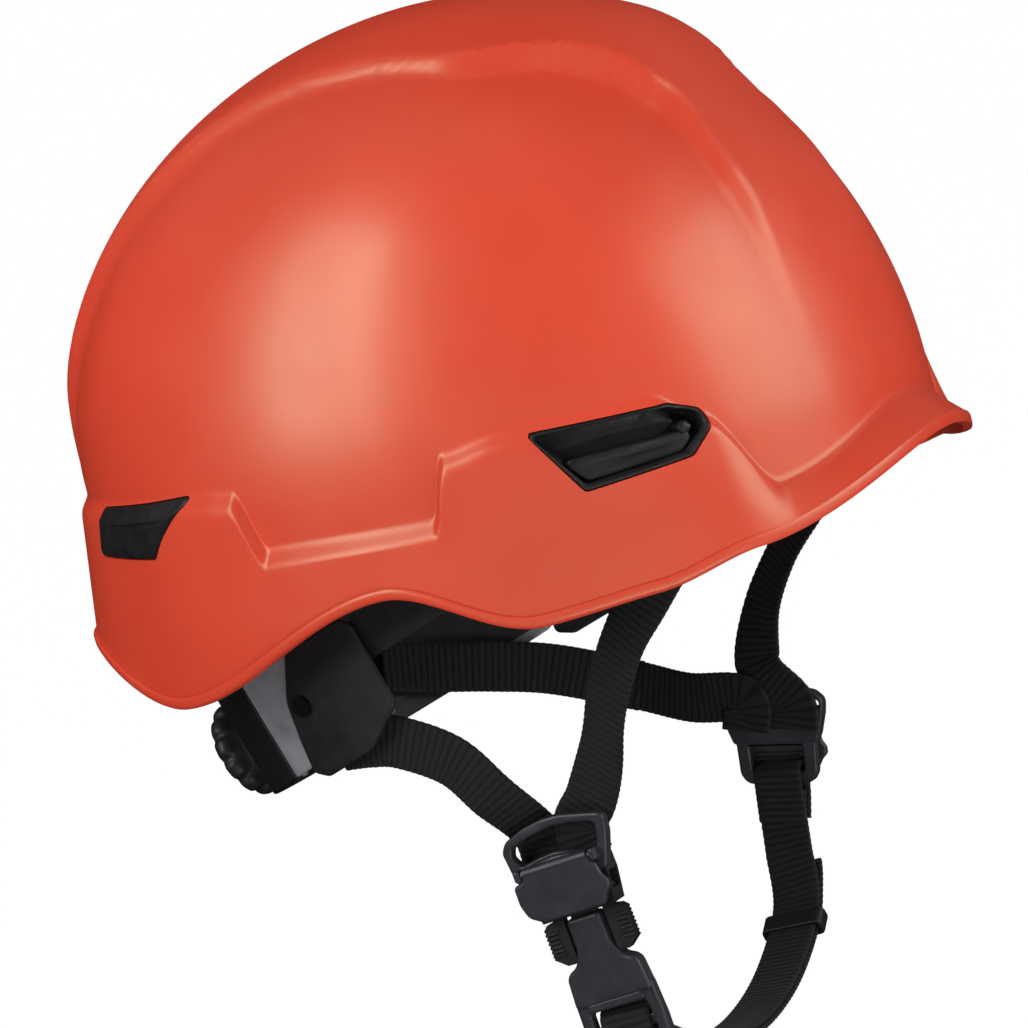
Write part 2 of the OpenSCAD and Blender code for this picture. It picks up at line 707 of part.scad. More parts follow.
module buckle_plug() {
    y0 = tongue_y - 2.4;
    waist = 4.6;
    color(plastic_black) yoke_frame(-1) {
        translate([-4.2, tongue_y - tongue_t / 2, -35]) cube([8.4, tongue_t, 23.5]);
        translate([0, y0 + 4.8, 0]) rotate([90, 0, 0]) linear_extrude(4.8)
            polygon([[-waist, socket_end - 0.8], [waist, socket_end - 0.8],
                [waist, plug_shoulder], [11.5, plug_shoulder], [12, plug_end],
                [-12, plug_end], [-11.5, plug_shoulder], [-waist, plug_shoulder]]);
        translate([0, tongue_y, 0]) difference() {
            slab(-13, 13, ladder_end, plug_end + 1, 3.4, 2);
            slab(-9.6, 9.6, ladder_end + 2.6, plug_end - 2.6, 6, 1);
        }
        translate([-10, tongue_y - 1.6, -56]) cube([20, 1.6, 3]);
    }
}

// Sprung arm beside the tongue, with a barb in the socket and a thumb pad below it.
module buckle_prong(way) {
    color(plastic_black) yoke_frame(-1) mirror([way < 0 ? 1 : 0, 0, 0])
        translate([0, tongue_y + tongue_t / 2, 0]) rotate([90, 0, 0])
            linear_extrude(tongue_t) polygon([[6.4, -33.8], [10, -33.8], [13.2, -31],
                [13.4, -23], [12, -21.4], [9.6, -21], [9.6, -16.2], [11.8, -16.2],
                [9.2, -12], [6.4, -12.6]]);
}

// ---- webbing ----

front_route_right = [[80, -77, -38], [68, -81, -51], [57, -81, -64], [49, -80, -77],
    [42, -77, -91], [34, -74, -103]];
front_route_left = [[78, 78, -38], [60, 81, -48], [46, 82, -59], [35, 82, -70],
    [25, 80.5, -84], [21, 76.5, -97], [22, 73.8, -104]];
rear_route_right = [[-34, -80.8, -75], [-24, -82.2, -75.2], [-15, -82, -77], [-1, -81, -85],
    [8, -80, -97]];
rear_route_left = [[-80, 36.8, -75], [-71, 48, -79.4], [-57, 59.5, -84.5], [-42, 69.5, -90.5],
    [-21, 77.5, -101], [-3, 74, -107]];
route_steps = 4;

module strap(points, normals) {
    color(web_black) ribbon(points, normals, web_w, web_t);
}

// The front strap's face turns outward on its way down to its divider.
module front_strap(side) {
    route = side < 0 ? front_route_right : front_route_left;
    points = spline(concat(route, [at_yoke(side, [7.6, -3, 2]), at_yoke(side, [7.4, -3, -6])]),
        route_steps);
    strap(points, [for (p = points) unit([0.5 * ease((p[2] + 105) / 45), side, 0])]);
}

module rear_strap(side) {
    route = side < 0 ? rear_route_right : rear_route_left;
    points = spline(concat(route,
        [at_yoke(side, [-7, -5.2, 4]), at_yoke(side, [-7, -5.2, -5.5])]), route_steps);
    strap(points, [for (p = points) p[0] < -20 ? out_of_ring(p) : [0, side, 0]]);
}

// Rivets with washers: two for the front straps in the shell, two through the strap anchors.
module strap_rivets() {
    color("silver") for (side = [-1, 1]) {
        p = (side < 0 ? front_route_right : front_route_left)[0];
        translate(p + [-2, -2.2 * side, 3]) rotate([90 * side, 0, 0])
            cylinder(r = 3.4, h = 1.2, $fn = 24);
        in_ring() rotate([0, 0, side * anchor_turn])
            translate([anchor_r + anchor_t + 0.1, 0, 0]) rotate([0, 90, 0])
                cylinder(r = 3, h = 1.1, $fn = 24);
    }
}

chin_route = [[16, 76, -146], [16, 73, -157], [18.5, 63, -172], [20, 37, -184.5],
    [20.5, 10, -190], [22, -16, -188], [24.5, -42, -181], [26, -62, -172]];
chin_steps = 4;
tail_gap = 2.1;          // between the middles of the strap and its returning tail
tail_start = 10;         // first ring of the strap that the tail lies along
tail_flare = 3;          // how far the tail's tip stands off

// Outward normal of the chin strap, in the plane square to X.
function chin_normals(points) = [for (i = [0:len(points) - 1]) let (
    d = unit(points[min(len(points) - 1, i + 1)] - points[max(0, i - 1)]))
    unit([0, -d[2], d[1]] * -1)];

function chin_points() = spline(concat(
    [at_yoke(1, [0, -0.6, loop_z - 3.4])], chin_route,
    [at_yoke(-1, [0, -6, -56]), at_yoke(-1, [0, -5.4, -49])]), chin_steps);

module chin_strap() {
    points = chin_points();
    strap(points, chin_normals(points));
}

// The strap's free end, folded back under it as far as the keeper and a little past it.
module chin_strap_tail() {
    points = chin_points();
    normals = chin_normals(points);
    last = len(points) - 9;
    flare = tail_start - 1;
    lie = [for (i = [flare:last])
        points[i] - normals[i] * (i > flare ? tail_gap : tail_gap + tail_flare)];
    strap(lie, [for (i = [flare:last]) normals[i]]);
}

module strap_keeper() {
    points = chin_points();
    normals = chin_normals(points);
    at = tail_start + 3;
    along = unit(points[at + 1] - points[at - 1]);
    middle = points[at] - normals[at] * tail_gap / 2;
    tilt = atan2(along[1], -along[2]);
    color(plastic_black) translate(middle) rotate([tilt, 0, 0]) difference() {
        slab(-10.2, 10.2, -2.5, 2.5, 8, 1.2);
        translate([-web_w / 2 - 0.5, -2.3, -4]) cube([web_w + 1, 4.6, 8]);
    }
}

// ---- the part ----

shell();
slot_insert(-1);  // slot_insert_right
slot_insert(1);  // slot_insert_left
rear_clip(-1);  // rear_clip_right
rear_clip(1);  // rear_clip_left
impact_liner();
cradle_strap(0, 0);  // cradle_strap_long
cradle_strap(cross_angle, 1);  // cradle_strap_cross_a
cradle_strap(180 - cross_angle, 2);  // cradle_strap_cross_b
cradle_anchors();
crown_pad();
head_band_front();
brow_pad();
band_hangers();
band_arm_right();
band_arm_left();
nape_cradle();
nape_backplate();
nape_pad();
strap_anchor(-1);  // strap_anchor_right
strap_anchor(1);  // strap_anchor_left
cradle_screws();
ratchet_housing();
ratchet_knob();
ratchet_pinion();
detent_spring();
knob_screw();
front_strap(-1);  // front_strap_right
front_strap(1);  // front_strap_left
rear_strap(-1);  // rear_strap_right
rear_strap(1);  // rear_strap_left
strap_rivets();
yoke(-1);  // yoke_right
yoke(1);  // yoke_left
yoke_lever(-1);  // yoke_lever_right
yoke_lever(1);  // yoke_lever_left
lever_pins();
buckle_socket();
buckle_plug();
buckle_prong(1);  // buckle_prong_front
buckle_prong(-1);  // buckle_prong_rear
chin_strap();
chin_strap_tail();
strap_keeper();
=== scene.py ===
"""Looks of the climbing helmet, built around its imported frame.

Lengths are millimetres in the frame's axes until place_mesh() makes a mesh in metres.
X points forward, Y to the wearer's left and Z up. Side is 1 for left and -1 for right.
"""
import math

import bmesh
import bpy
import numpy as np
from mathutils import Matrix, Vector
from mathutils.geometry import tessellate_polygon


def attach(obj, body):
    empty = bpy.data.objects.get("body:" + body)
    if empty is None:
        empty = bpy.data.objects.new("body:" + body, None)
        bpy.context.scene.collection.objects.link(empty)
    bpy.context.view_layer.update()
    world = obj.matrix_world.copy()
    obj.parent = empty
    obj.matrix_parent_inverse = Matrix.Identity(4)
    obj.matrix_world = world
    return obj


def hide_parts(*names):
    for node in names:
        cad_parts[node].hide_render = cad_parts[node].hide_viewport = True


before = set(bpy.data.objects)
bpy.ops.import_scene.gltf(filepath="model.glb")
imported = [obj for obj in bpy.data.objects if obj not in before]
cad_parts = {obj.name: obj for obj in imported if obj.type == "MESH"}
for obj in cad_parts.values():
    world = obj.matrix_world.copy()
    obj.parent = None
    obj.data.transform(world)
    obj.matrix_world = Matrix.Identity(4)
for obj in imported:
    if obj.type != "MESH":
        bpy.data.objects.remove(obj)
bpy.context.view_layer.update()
MM = 0.001


# ---- camera, background and lights, in metres ----

VIEW_AZIMUTH, VIEW_ELEVATION, VIEW_ROLL = math.radians(27.5), math.radians(6), math.radians(15)
VIEW_DISTANCE = 1.8
FIELD_WIDTH = 0.2912      # width of what the camera sees at the helmet
SENSOR = 36.0
LENS_SHIFT = (0.0136, -0.1109)
LIGHT_DISTANCE = 1.1


def direction(azimuth, elevation):
    """Unit vector towards a viewer at that azimuth and elevation."""
    level = math.cos(elevation)
    return Vector((math.sin(azimuth) * level, -math.cos(azimuth) * level, math.sin(elevation)))


def make_camera():
    back = direction(VIEW_AZIMUTH, VIEW_ELEVATION)
    level = Vector((math.cos(VIEW_AZIMUTH), math.sin(VIEW_AZIMUTH), 0))
    upright = back.cross(level)
    right = level * math.cos(VIEW_ROLL) - upright * math.sin(VIEW_ROLL)
    up = level * math.sin(VIEW_ROLL) + upright * math.cos(VIEW_ROLL)
    data = bpy.data.cameras.new("camera")
    data.sensor_width = SENSOR
    data.lens = SENSOR * VIEW_DISTANCE / FIELD_WIDTH
    data.shift_x, data.shift_y = LENS_SHIFT
    data.clip_end = 50
    camera = bpy.data.objects.new("camera", data)
    camera.matrix_world = Matrix.Translation(back * VIEW_DISTANCE) @ Matrix(
        (right, up, back)).transposed().to_4x4()
    bpy.context.scene.collection.objects.link(camera)
    bpy.context.scene.camera = camera


def softbox(name, azimuth, elevation, width, height, power, mirrored=True):
    """Rectangular light that faces the helmet. Mirrored ones show in glossy surfaces."""
    data = bpy.data.lights.new(name, "AREA")
    data.shape = "RECTANGLE"
    data.size, data.size_y = width, height
    data.energy = power
    light = bpy.data.objects.new(name, data)
    towards = direction(math.radians(azimuth), math.radians(elevation))
    light.location = towards * LIGHT_DISTANCE
    light.rotation_euler = towards.to_track_quat("Z", "Y").to_euler()
    light.visible_glossy = mirrored
    bpy.context.scene.collection.objects.link(light)


def make_lights():
    softbox("key_light", -28, 30, 0.4, 1.0, 7.5)
    softbox("front_light", 98, 14, 0.9, 0.8, 7.5)
    softbox("rim_light", 40, -30, 0.9, 0.15, 2.6)
    softbox("top_light", 0, 80, 0.8, 0.5, 2.0, False)
    softbox("rear_light", -110, 42, 0.3, 0.8, 2.6, False)
    softbox("far_light", 178, 20, 1.0, 0.8, 5, False)
    softbox("fill_light", 25, -18, 1.4, 0.9, 4.2, False)
    world = bpy.data.worlds.new("world")
    world.use_nodes = True
    sky = world.node_tree.nodes["Background"]
    sky.inputs["Color"].default_value = (0.80, 0.82, 0.85, 1)
    sky.inputs["Strength"].default_value = 0.34
    bpy.context.scene.world = world
    world.cycles_visibility.glossy = False
    bpy.context.scene.view_settings.view_transform = "Standard"


def make_backdrop():
    """Pale floor that curves up into walls and a ceiling all round, seen by the camera only."""
    floor_z, floor_r, height, bend = -0.32, 6.0, 5.0, 1.5
    profile = [(0.02, floor_z), (floor_r - bend, floor_z)]
    profile += [(floor_r - bend + bend * math.sin(t), floor_z + bend - bend * math.cos(t))
                for t in np.linspace(0.1, math.pi / 2, 12)]
    profile += [(floor_r, height), (0.02, height)]
    mesh = bpy.data.meshes.new("studio_floor")
    verts, faces = revolve(profile, 64)
    mesh.from_pydata(verts.tolist(), [], faces)
    material = bpy.data.materials.new("studio_white")
    material.use_nodes = True
    shader = material.node_tree.nodes["Principled BSDF"]
    shader.inputs["Base Color"].default_value = (0, 0, 0, 1)
    shader.inputs["Roughness"].default_value = 1
    shader.inputs["Emission Color"].default_value = (1, 1, 1, 1)
    shader.inputs["Emission Strength"].default_value = 1
    mesh.materials.append(material)
    floor = bpy.data.objects.new("studio_floor", mesh)
    for ray in ("visible_diffuse", "visible_glossy", "visible_transmission", "visible_shadow"):
        setattr(floor, ray, False)
    bpy.context.scene.collection.objects.link(floor)


# ---- materials ----

class Surface:
    """A material under construction: its nodes, and short ways to add and join them."""

    def __init__(self, name, color, roughness, **sockets):
        self.material = bpy.data.materials.new(name)
        self.material.use_nodes = True
        self.nodes = self.material.node_tree.nodes
        self.links = self.material.node_tree.links
        self.shader = self.nodes["Principled BSDF"]
        self.color = color
        self.shader.inputs["Base Color"].default_value = (*color, 1)
        self.shader.inputs["Roughness"].default_value = roughness
        for key, value in sockets.items():
            self.shader.inputs[key.replace("_", " ")].default_value = value
        self.where = self.nodes.new("ShaderNodeTexCoord").outputs["Object"]
        self.normal = None

    def add(self, kind, **values):
        node = self.nodes.new(kind)
        for key, value in values.items():
            if key in node.inputs:
                node.inputs[key].default_value = value
            else:
                setattr(node, key, value)
        return node

    def noise(self, scale, detail=3.0, roughness=0.5):
        node = self.add("ShaderNodeTexNoise", Scale=scale, Detail=detail, Roughness=roughness)
        self.links.new(self.where, node.inputs["Vector"])
        return node.outputs["Fac"]

    def voronoi(self, scale, feature="F1"):
        node = self.add("ShaderNodeTexVoronoi", Scale=scale, feature=feature)
        self.links.new(self.where, node.inputs["Vector"])
        return node.outputs["Distance"]

    def span(self, value, low, high, from_low=0.3, from_high=0.7):
        """Spreads a value's usual range over low to high."""
        node = self.nodes.new("ShaderNodeMapRange")
        for socket, number in zip(("From Min", "From Max", "To Min", "To Max"),
                                  (from_low, from_high, low, high)):
            node.inputs[socket].default_value = number
        self.links.new(value, node.inputs["Value"])
        return node.outputs["Result"]

    def roughness(self, value, low, high):
        self.links.new(self.span(value, low, high), self.shader.inputs["Roughness"])

    def blend(self, factor, dark, light):
        """Base colour between two, by a factor from 0 to 1."""
        mix = self.nodes.new("ShaderNodeMix")
        mix.data_type = "RGBA"
        mix.inputs["A"].default_value = (*dark, 1)
        mix.inputs["B"].default_value = (*light, 1)
        self.links.new(factor, mix.inputs["Factor"])
        self.links.new(mix.outputs["Result"], self.shader.inputs["Base Color"])

    def tint(self, value, darkest, lightest):
        """Varies the base colour by a factor that follows value."""
        self.blend(self.span(value, 0, 1), [c * darkest for c in self.color],
                   [c * lightest for c in self.color])

    def bump(self, height, depth_mm, strength=1.0):
        node = self.add("ShaderNodeBump", Strength=strength, Distance=depth_mm * MM)
        self.links.new(height, node.inputs["Height"])
        if self.normal is not None:
            self.links.new(self.normal, node.inputs["Normal"])
        self.normal = node.outputs["Normal"]
        self.links.new(self.normal, self.shader.inputs["Normal"])


def shell_paint():
    """Glossy moulded plastic with faint orange peel and a slightly uneven sheen."""
    s = Surface("shell_orange", (0.665, 0.053, 0.024), 0.34, Coat_Weight=0.1, Coat_Roughness=0.14,
                Coat_IOR=1.45, IOR=1.5, Specular_IOR_Level=0.8, Specular_Tint=(0.7, 1.0, 0.68, 1))
    s.tint(s.noise(14, 2), 0.93, 1.05)
    s.roughness(s.noise(60, 4, 0.6), 0.33, 0.41)
    s.bump(s.noise(210, 2), 0.05, 0.35)
    return s.material


def moulded(name, color, low, high):
    """Fine grained moulded nylon."""
    s = Surface(name, color, (low + high) / 2, IOR=1.5)
    s.tint(s.noise(90, 4, 0.6), 0.8, 1.3)
    s.roughness(s.noise(260, 3, 0.6), low, high)
    s.bump(s.noise(1500, 2, 0.7), 0.05, 0.6)
    s.bump(s.noise(35, 2), 0.12, 0.25)
    return s.material


def ribbed_webbing():
    """Woven tape: the mesh carries the ribs, and its rib attribute paints shade into the grooves.
    """
    s = Surface("webbing_black", (0.020, 0.020, 0.021), 0.78, Sheen_Weight=0.05,
                Sheen_Roughness=0.45, Specular_IOR_Level=0.25)
    rib = s.nodes.new("ShaderNodeAttribute")
    rib.attribute_name = "rib"
    fibres = s.noise(1900, 3, 0.7)
    worn = s.noise(120, 3, 0.6)
    # Painted shade: rib height, plus a little wear-like tone noise, sets the base colour, so the
    # grooves between ribs are painted darker.
    level = s.add("ShaderNodeMath", operation="MULTIPLY_ADD")
    s.links.new(worn, level.inputs[0])
    level.inputs[1].default_value = 0.35
    s.links.new(rib.outputs["Fac"], level.inputs[2])
    s.blend(s.span(level.outputs[0], 0, 1, 0.1, 1.2), (0.001, 0.001, 0.001),
            (0.013, 0.0128, 0.013))
    s.bump(fibres, 0.12, 0.8)
    return s.material


def knit_fabric():
    s = Surface("pad_knit", (0.030, 0.030, 0.033), 0.85, Sheen_Weight=0.5, Sheen_Roughness=0.5)
    cells = s.voronoi(700)
    s.tint(cells, 0.6, 1.7)
    s.bump(cells, 0.35, 0.8)
    s.bump(s.noise(60, 3), 0.5, 0.3)
    return s.material


def bead_foam():
    s = Surface("liner_foam", (0.035, 0.035, 0.037), 0.8)
    beads = s.voronoi(280, "SMOOTH_F1")
    s.tint(beads, 0.7, 1.5)
    s.bump(beads, 0.5, 0.6)
    s.roughness(s.noise(300, 3), 0.7, 0.9)
    return s.material


def plated_steel(name, color):
    s = Surface(name, color, 0.3, Metallic=0.55)
    s.tint(s.noise(400, 3), 0.85, 1.1)
    s.roughness(s.noise(900, 4, 0.7), 0.22, 0.42)
    s.bump(s.noise(2500, 2), 0.02, 0.4)
    return s.material


def thread():
    s = Surface("stitch_thread", (0.05, 0.05, 0.053), 0.7, Sheen_Weight=0.3)
    s.tint(s.noise(3000, 2), 0.6, 1.4)
    s.bump(s.noise(4000, 2), 0.05, 0.6)
    return s.material


# ---- meshes ----

def place_mesh(name, verts, faces, material, body, replaces=(), slot=None, crease=35,
               attribute=None):
    """Makes one smooth-shaded piece from points in millimetres and puts it on its body."""
    mesh = bpy.data.meshes.new(name)
    mesh.from_pydata([tuple(v) for v in np.asarray(verts, float) * MM], [],
                     [tuple(int(i) for i in f) for f in faces])
    mesh.validate()
    mesh.materials.append(material)
    mesh.shade_smooth()
    mesh.set_sharp_from_angle(angle=math.radians(crease))
    if attribute is not None:
        layer = mesh.attributes.new("rib", "FLOAT", "POINT")
        layer.data.foreach_set("value", np.asarray(attribute, np.float32))
    obj = bpy.data.objects.new(name, mesh)
    bpy.context.scene.collection.objects.link(obj)
    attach(obj, body)
    if replaces:
        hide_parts(*replaces)
    return obj


def join_parts(parts):
    """Several (verts, faces) as one."""
    verts, faces, count = [], [], 0
    for part_verts, part_faces in parts:
        verts.append(np.asarray(part_verts, float))
        faces += [tuple(i + count for i in f) for f in part_faces]
        count += len(part_verts)
    return np.concatenate(verts), faces


def place_moulding(name, parts, material, body, node, slot="plastic_black", crease=35):
    """Places several parts as one piece whose large flat faces stay flat beside rounded edges."""
    obj = place_mesh(name, *join_parts(parts), material, body, [node], slot, crease)
    obj.modifiers.new("flat_faces", "WEIGHTED_NORMAL").keep_sharp = True


def flipped(part, flip=True):
    """The same part with its faces turned the other way."""
    verts, faces = part
    return verts, ([f[::-1] for f in faces] if flip else faces)


def outward(part):
    """The same closed part with its faces turned outward."""
    verts, faces = part
    volume = sum(float(np.dot(verts[f[0]], np.cross(verts[f[i]], verts[f[i + 1]])))
                 for f in faces for i in range(1, len(f) - 1))
    return flipped(part, volume <= 0)


def loft(rings, caps=False):
    """Quads between rings of equal length. Rings run anticlockwise seen from the last one."""
    rings = np.asarray(rings, float)
    m, n = rings.shape[:2]
    verts = rings.reshape(-1, 3)
    faces = [(i * n + k, i * n + (k + 1) % n, (i + 1) * n + (k + 1) % n, (i + 1) * n + k)
             for i in range(m - 1) for k in range(n)]
    if caps:
        faces.append(tuple(range(n - 1, -1, -1)))
        faces.append(tuple((m - 1) * n + k for k in range(n)))
    return verts, faces


def solid(rings):
    return outward(loft(rings, caps=True))


NEARLY_STRAIGHT = 1.54         # half of a corner's angle, in radians, from which it stays as it is
CORNER_PULL = 0.72             # how closely a rounded corner's curve is drawn to its corner


def rounded(points, radius, steps=6):
    """Outline with its corners rounded. Radius is one number, or one for each corner."""
    points = [np.array(p, float) for p in points]
    radii = radius if hasattr(radius, "__len__") else [radius] * len(points)
    outline = []
    for i, corner in enumerate(points):
        before, after = points[i - 1], points[(i + 1) % len(points)]
        a, b = before - corner, after - corner
        la, lb = np.linalg.norm(a), np.linalg.norm(b)
        a, b = a / la, b / lb
        half = math.acos(max(-1, min(1, float(a @ b)))) / 2
        if radii[i] <= 0 or half > NEARLY_STRAIGHT:
            outline.append(corner)
            continue
        reach = min(radii[i] / math.tan(half), la * 0.48, lb * 0.48)
        start, end = corner + a * reach, corner + b * reach
        for t in np.linspace(0, 1, steps + 1):
            outline.append((1 - t) ** 2 * start + 2 * t * (1 - t) * corner * CORNER_PULL
                           + 2 * t * (1 - t) * (start + end) / 2 * (1 - CORNER_PULL)
                           + t * t * end)
    return [tuple(p) for p in outline]


def corners(points, steps=5):
    """Rounded outline from corners (x, z, radius)."""
    return rounded([p[:2] for p in points], [p[2] for p in points], steps)


def mirrored(half):
    """All corners of a symmetric outline, from those on its right listed end to end."""
    left = [(-x, z, r) for x, z, r in half]
    return [left[0], *half, *left[:0:-1]]


def circle(x, z, radius, count):
    return [(x + radius * math.cos(t), z + radius * math.sin(t))
            for t in np.linspace(0, 2 * math.pi, count, endpoint=False)]


def inset_outline(outline, distance):
    """Outline moved inwards by distance along its corners' bisectors."""
    p = np.asarray(outline, float)
    ahead, behind = np.roll(p, -1, 0) - p, p - np.roll(p, 1, 0)
    ahead /= np.linalg.norm(ahead, axis=1)[:, None] + 1e-12
    behind /= np.linalg.norm(behind, axis=1)[:, None] + 1e-12
    n1, n2 = np.c_[-ahead[:, 1], ahead[:, 0]], np.c_[-behind[:, 1], behind[:, 0]]
    bisector = n1 + n2
    bisector /= np.linalg.norm(bisector, axis=1)[:, None] + 1e-12
    stretch = 1 / np.maximum(0.5, (bisector * n1).sum(1))
    return p + bisector * (distance * stretch)[:, None]


def area_of(outline):
    p = np.asarray(outline, float)
    q = np.roll(p, -1, 0)
    return float((p[:, 0] * q[:, 1] - q[:, 0] * p[:, 1]).sum() / 2)


def plate(outer, holes, low, high, bevel, round_steps=3):
    """Plate between two heights along Z with rounded edges and holes, as (verts, faces)."""
    loops = [list(outer)] + [list(h) for h in holes]
    for k, loop in enumerate(loops):
        if (area_of(loop) > 0) != (k == 0):
            loops[k] = loop[::-1]
    levels = [(bevel * (1 - math.sin(t)), high - bevel * (1 - math.cos(t)))
              for t in np.linspace(0, math.pi / 2, round_steps + 1)]
    levels += [(inset, low + (high - z)) for inset, z in levels[::-1]]
    verts, faces, top, bottom, count = [], [], [], [], 0
    for loop in loops:
        n = len(loop)
        for inset, z in levels:
            verts += [(x, y, z) for x, y in inset_outline(loop, inset)]
        for i in range(len(levels) - 1):
            faces += [(count + i * n + k, count + (i + 1) * n + k,
                       count + (i + 1) * n + (k + 1) % n, count + i * n + (k + 1) % n)
                      for k in range(n)]
        top.append(list(range(count, count + n)))
        bottom.append(list(range(count + (len(levels) - 1) * n, count + len(levels) * n)))
        count += len(levels) * n
    for loop_ids, upward in ((top, True), (bottom, False)):
        flat = [i for ids in loop_ids for i in ids]
        cap = tessellate_polygon([[Vector((verts[i][0], verts[i][1], 0)) for i in ids]
                                  for ids in loop_ids])
        for tri in cap:
            ids = [flat[i] for i in tri]
            a, b, c = (np.array(verts[i][:2]) for i in ids)
            turn = (b[0] - a[0]) * (c[1] - a[1]) - (b[1] - a[1]) * (c[0] - a[0])
            if abs(turn) < 1e-9:
                continue
            faces.append(tuple(ids if (turn > 0) == upward else ids[::-1]))
    return np.array(verts, float), faces


def revolve(profile, sides, radius_at=None):
    """Solid of revolution about Z. radius_at(angle, r) may change the radius."""
    rings = []
    for r, z in profile:
        ring = []
        for k in range(sides):
            a = 2 * math.pi * k / sides
            q = radius_at(a, r) if radius_at else r
            ring.append((q * math.cos(a), q * math.sin(a), z))
        rings.append(ring)
    return loft(rings, caps=True)


def unit_rows(vectors):
    return vectors / np.linalg.norm(vectors, axis=1)[:, None]


def headings(path):
    """Unit direction of a path at each of its points."""
    return unit_rows(np.gradient(path, axis=0))


def tube(path, radius, sides):
    """Round bar along a path of points."""
    path = np.asarray(path, float)
    along = headings(path)
    side = np.cross(along[0], (0.3, 0.5, 0.8))
    rings = []
    for p, d in zip(path, along):
        side = side - d * (side @ d)
        side /= np.linalg.norm(side)
        up = np.cross(d, side)
        rings.append([p + radius * (side * math.cos(t) + up * math.sin(t))
                      for t in np.linspace(0, 2 * math.pi, sides, endpoint=False)])
    return loft(rings, caps=True)


def bar(low, high, bevel=0.5):
    """Box between two corners with rounded long edges."""
    (x0, y0, z0), (x1, y1, z1) = low, high
    outline = rounded([(x0, y0), (x1, y0), (x1, y1), (x0, y1)], bevel, 3)
    return plate(outline, [], z0, z1, bevel)


# ---- smooth curves, as the frame has them ----

def ease(t):
    t = np.clip(t, 0, 1)
    return t * t * (3 - 2 * t)


def keyed(x, keys):
    x = np.asarray(x, float)
    value = np.full(x.shape, float(keys[0][1]))
    for (x0, v0), (x1, v1) in zip(keys[:-1], keys[1:]):
        value = np.where(x > x0, v0 + (v1 - v0) * ease((x - x0) / (x1 - x0)), value)
    return value


def mix(a, b, t):
    return a + (b - a) * t


def spline(points, steps):
    """Catmull-Rom curve through points."""
    p = [np.array(q, float) for q in points]
    last = len(p) - 1
    curve = []
    for i in range(last):
        a, b, c, d = p[max(0, i - 1)], p[i], p[i + 1], p[min(last, i + 2)]
        for t in np.arange(steps) / steps:
            curve.append(0.5 * (2 * b + (c - a) * t + (2 * a - 5 * b + 4 * c - d) * t * t
                                + (3 * b - a - 3 * c + d) * t ** 3))
    return np.array(curve + [p[last]])


def resample(points, spacing, *others):
    """Points at even spacing along a path, and other per-point values carried with them."""
    points = np.asarray(points, float)
    gaps = np.linalg.norm(np.diff(points, axis=0), axis=1)
    run = np.r_[0, np.cumsum(gaps)]
    count = max(2, int(round(run[-1] / spacing)) + 1)
    at = np.linspace(0, run[-1], count)
    carried = [np.c_[[np.interp(at, run, np.asarray(v, float)[:, k]) for k in range(3)]].T
               for v in (points, *others)]
    return (at, *carried)


# ---- the shell's surface ----

AXIS_X, FRONT, REAR, SIDE, CROWN = 3.0, 116.5, 124.0, 105.0, 111.0
WALL, SKIRT_STEP, BRIM, LEDGE_H = 2.8, 3.0, 10.0, 4.0
RIM_LIP_H = 3.4
LIP_FADE_FROM, LIP_FADE_OVER = 28, 22      # degrees from the front where the lip grows to its size
PLAN_POWER = 2.2
CREST_H, CREST_W, CREST_SOFT = 3.5, 45.0, 5.0
RISE_KEYS = [(20, CREST_H), (72, CREST_H + 4), (97, CREST_H - 0.3), (112, CREST_H - 2.3)]
RIM_KEYS = [(0, -33), (36, -44.5), (50, -48.8), (66, -50), (88, -34), (129, -55.5), (158, -38),
            (180, -35)]
OUT_KEYS = [(0, BRIM), (30, BRIM - 3), (55, 4), (90, 3.2), (130, 4), (158, 8), (180, 8)]
LEDGE_KEYS = [(0, -20), (29, -30), (38, -6), (44, 2), (66, 3), (74, 1), (78, -16), (106, -15),
              (110, 2), (115, 3), (180, 4)]
STEP_KEYS = [(0, 0.8), (24, 1.5), (36, SKIRT_STEP), (180, SKIRT_STEP)]
CREST_KEYS = [(-130, CREST_W), (30, CREST_W), (78, CREST_W - 21), (84, CREST_W - 23),
              (100, CREST_W - 17), (112, CREST_W - 11), (125, CREST_W - 7)]


def by_side(a, front, side, rear):
    c = np.cos(a)
    front_share, rear_share = np.maximum(0, c) ** 2, np.maximum(0, -c) ** 2
    return front * front_share + rear * rear_share + side * (1 - front_share - rear_share)


def dome_r(a, z, inset=0.0):
    """Distance of the smooth dome from the crown's axis, at angle a in radians and height z."""
    c, s = np.cos(a), np.sin(a)
    end = np.where(c >= 0, FRONT, REAR)
    plan = ((np.abs(c) / end) ** PLAN_POWER + (np.abs(s) / SIDE) ** PLAN_POWER) ** (-1 / PLAN_POWER)
    top, power = by_side(a, -18, -10, 10), by_side(a, 1.97, 2.1, 1.88)
    t = np.clip((z - top) / (CROWN - inset - top), 0, 1)
    return (plan - inset) * (1 - t ** power) ** (1 / power)


def degrees_round(a):
    return np.abs(np.degrees(np.arctan2(np.sin(a), np.cos(a))))


def place(a, r, z):
    a, r, z = np.broadcast_arrays(a, r, z)
    return np.stack([AXIS_X + r * np.cos(a), r * np.sin(a), z], -1)


def with_crest(p):
    rise = keyed(p[..., 0], RISE_KEYS) * ease(p[..., 2] / 45) * ease(
        (keyed(p[..., 0], CREST_KEYS) - np.abs(p[..., 1])) / CREST_SOFT + 0.5)
    out = p - np.array([AXIS_X, 0, 0])
    return p + rise[..., None] * out / np.linalg.norm(out, axis=-1)[..., None]


def skirt_levels(a):
    """Heights of the ledge's top, the skirt's top and the lip's top at angle a."""
    d = degrees_round(a)
    top = keyed(d, LEDGE_KEYS)
    return top, top - LEDGE_H * keyed(d, STEP_KEYS) / SKIRT_STEP, keyed(d, RIM_KEYS) + RIM_LIP_H


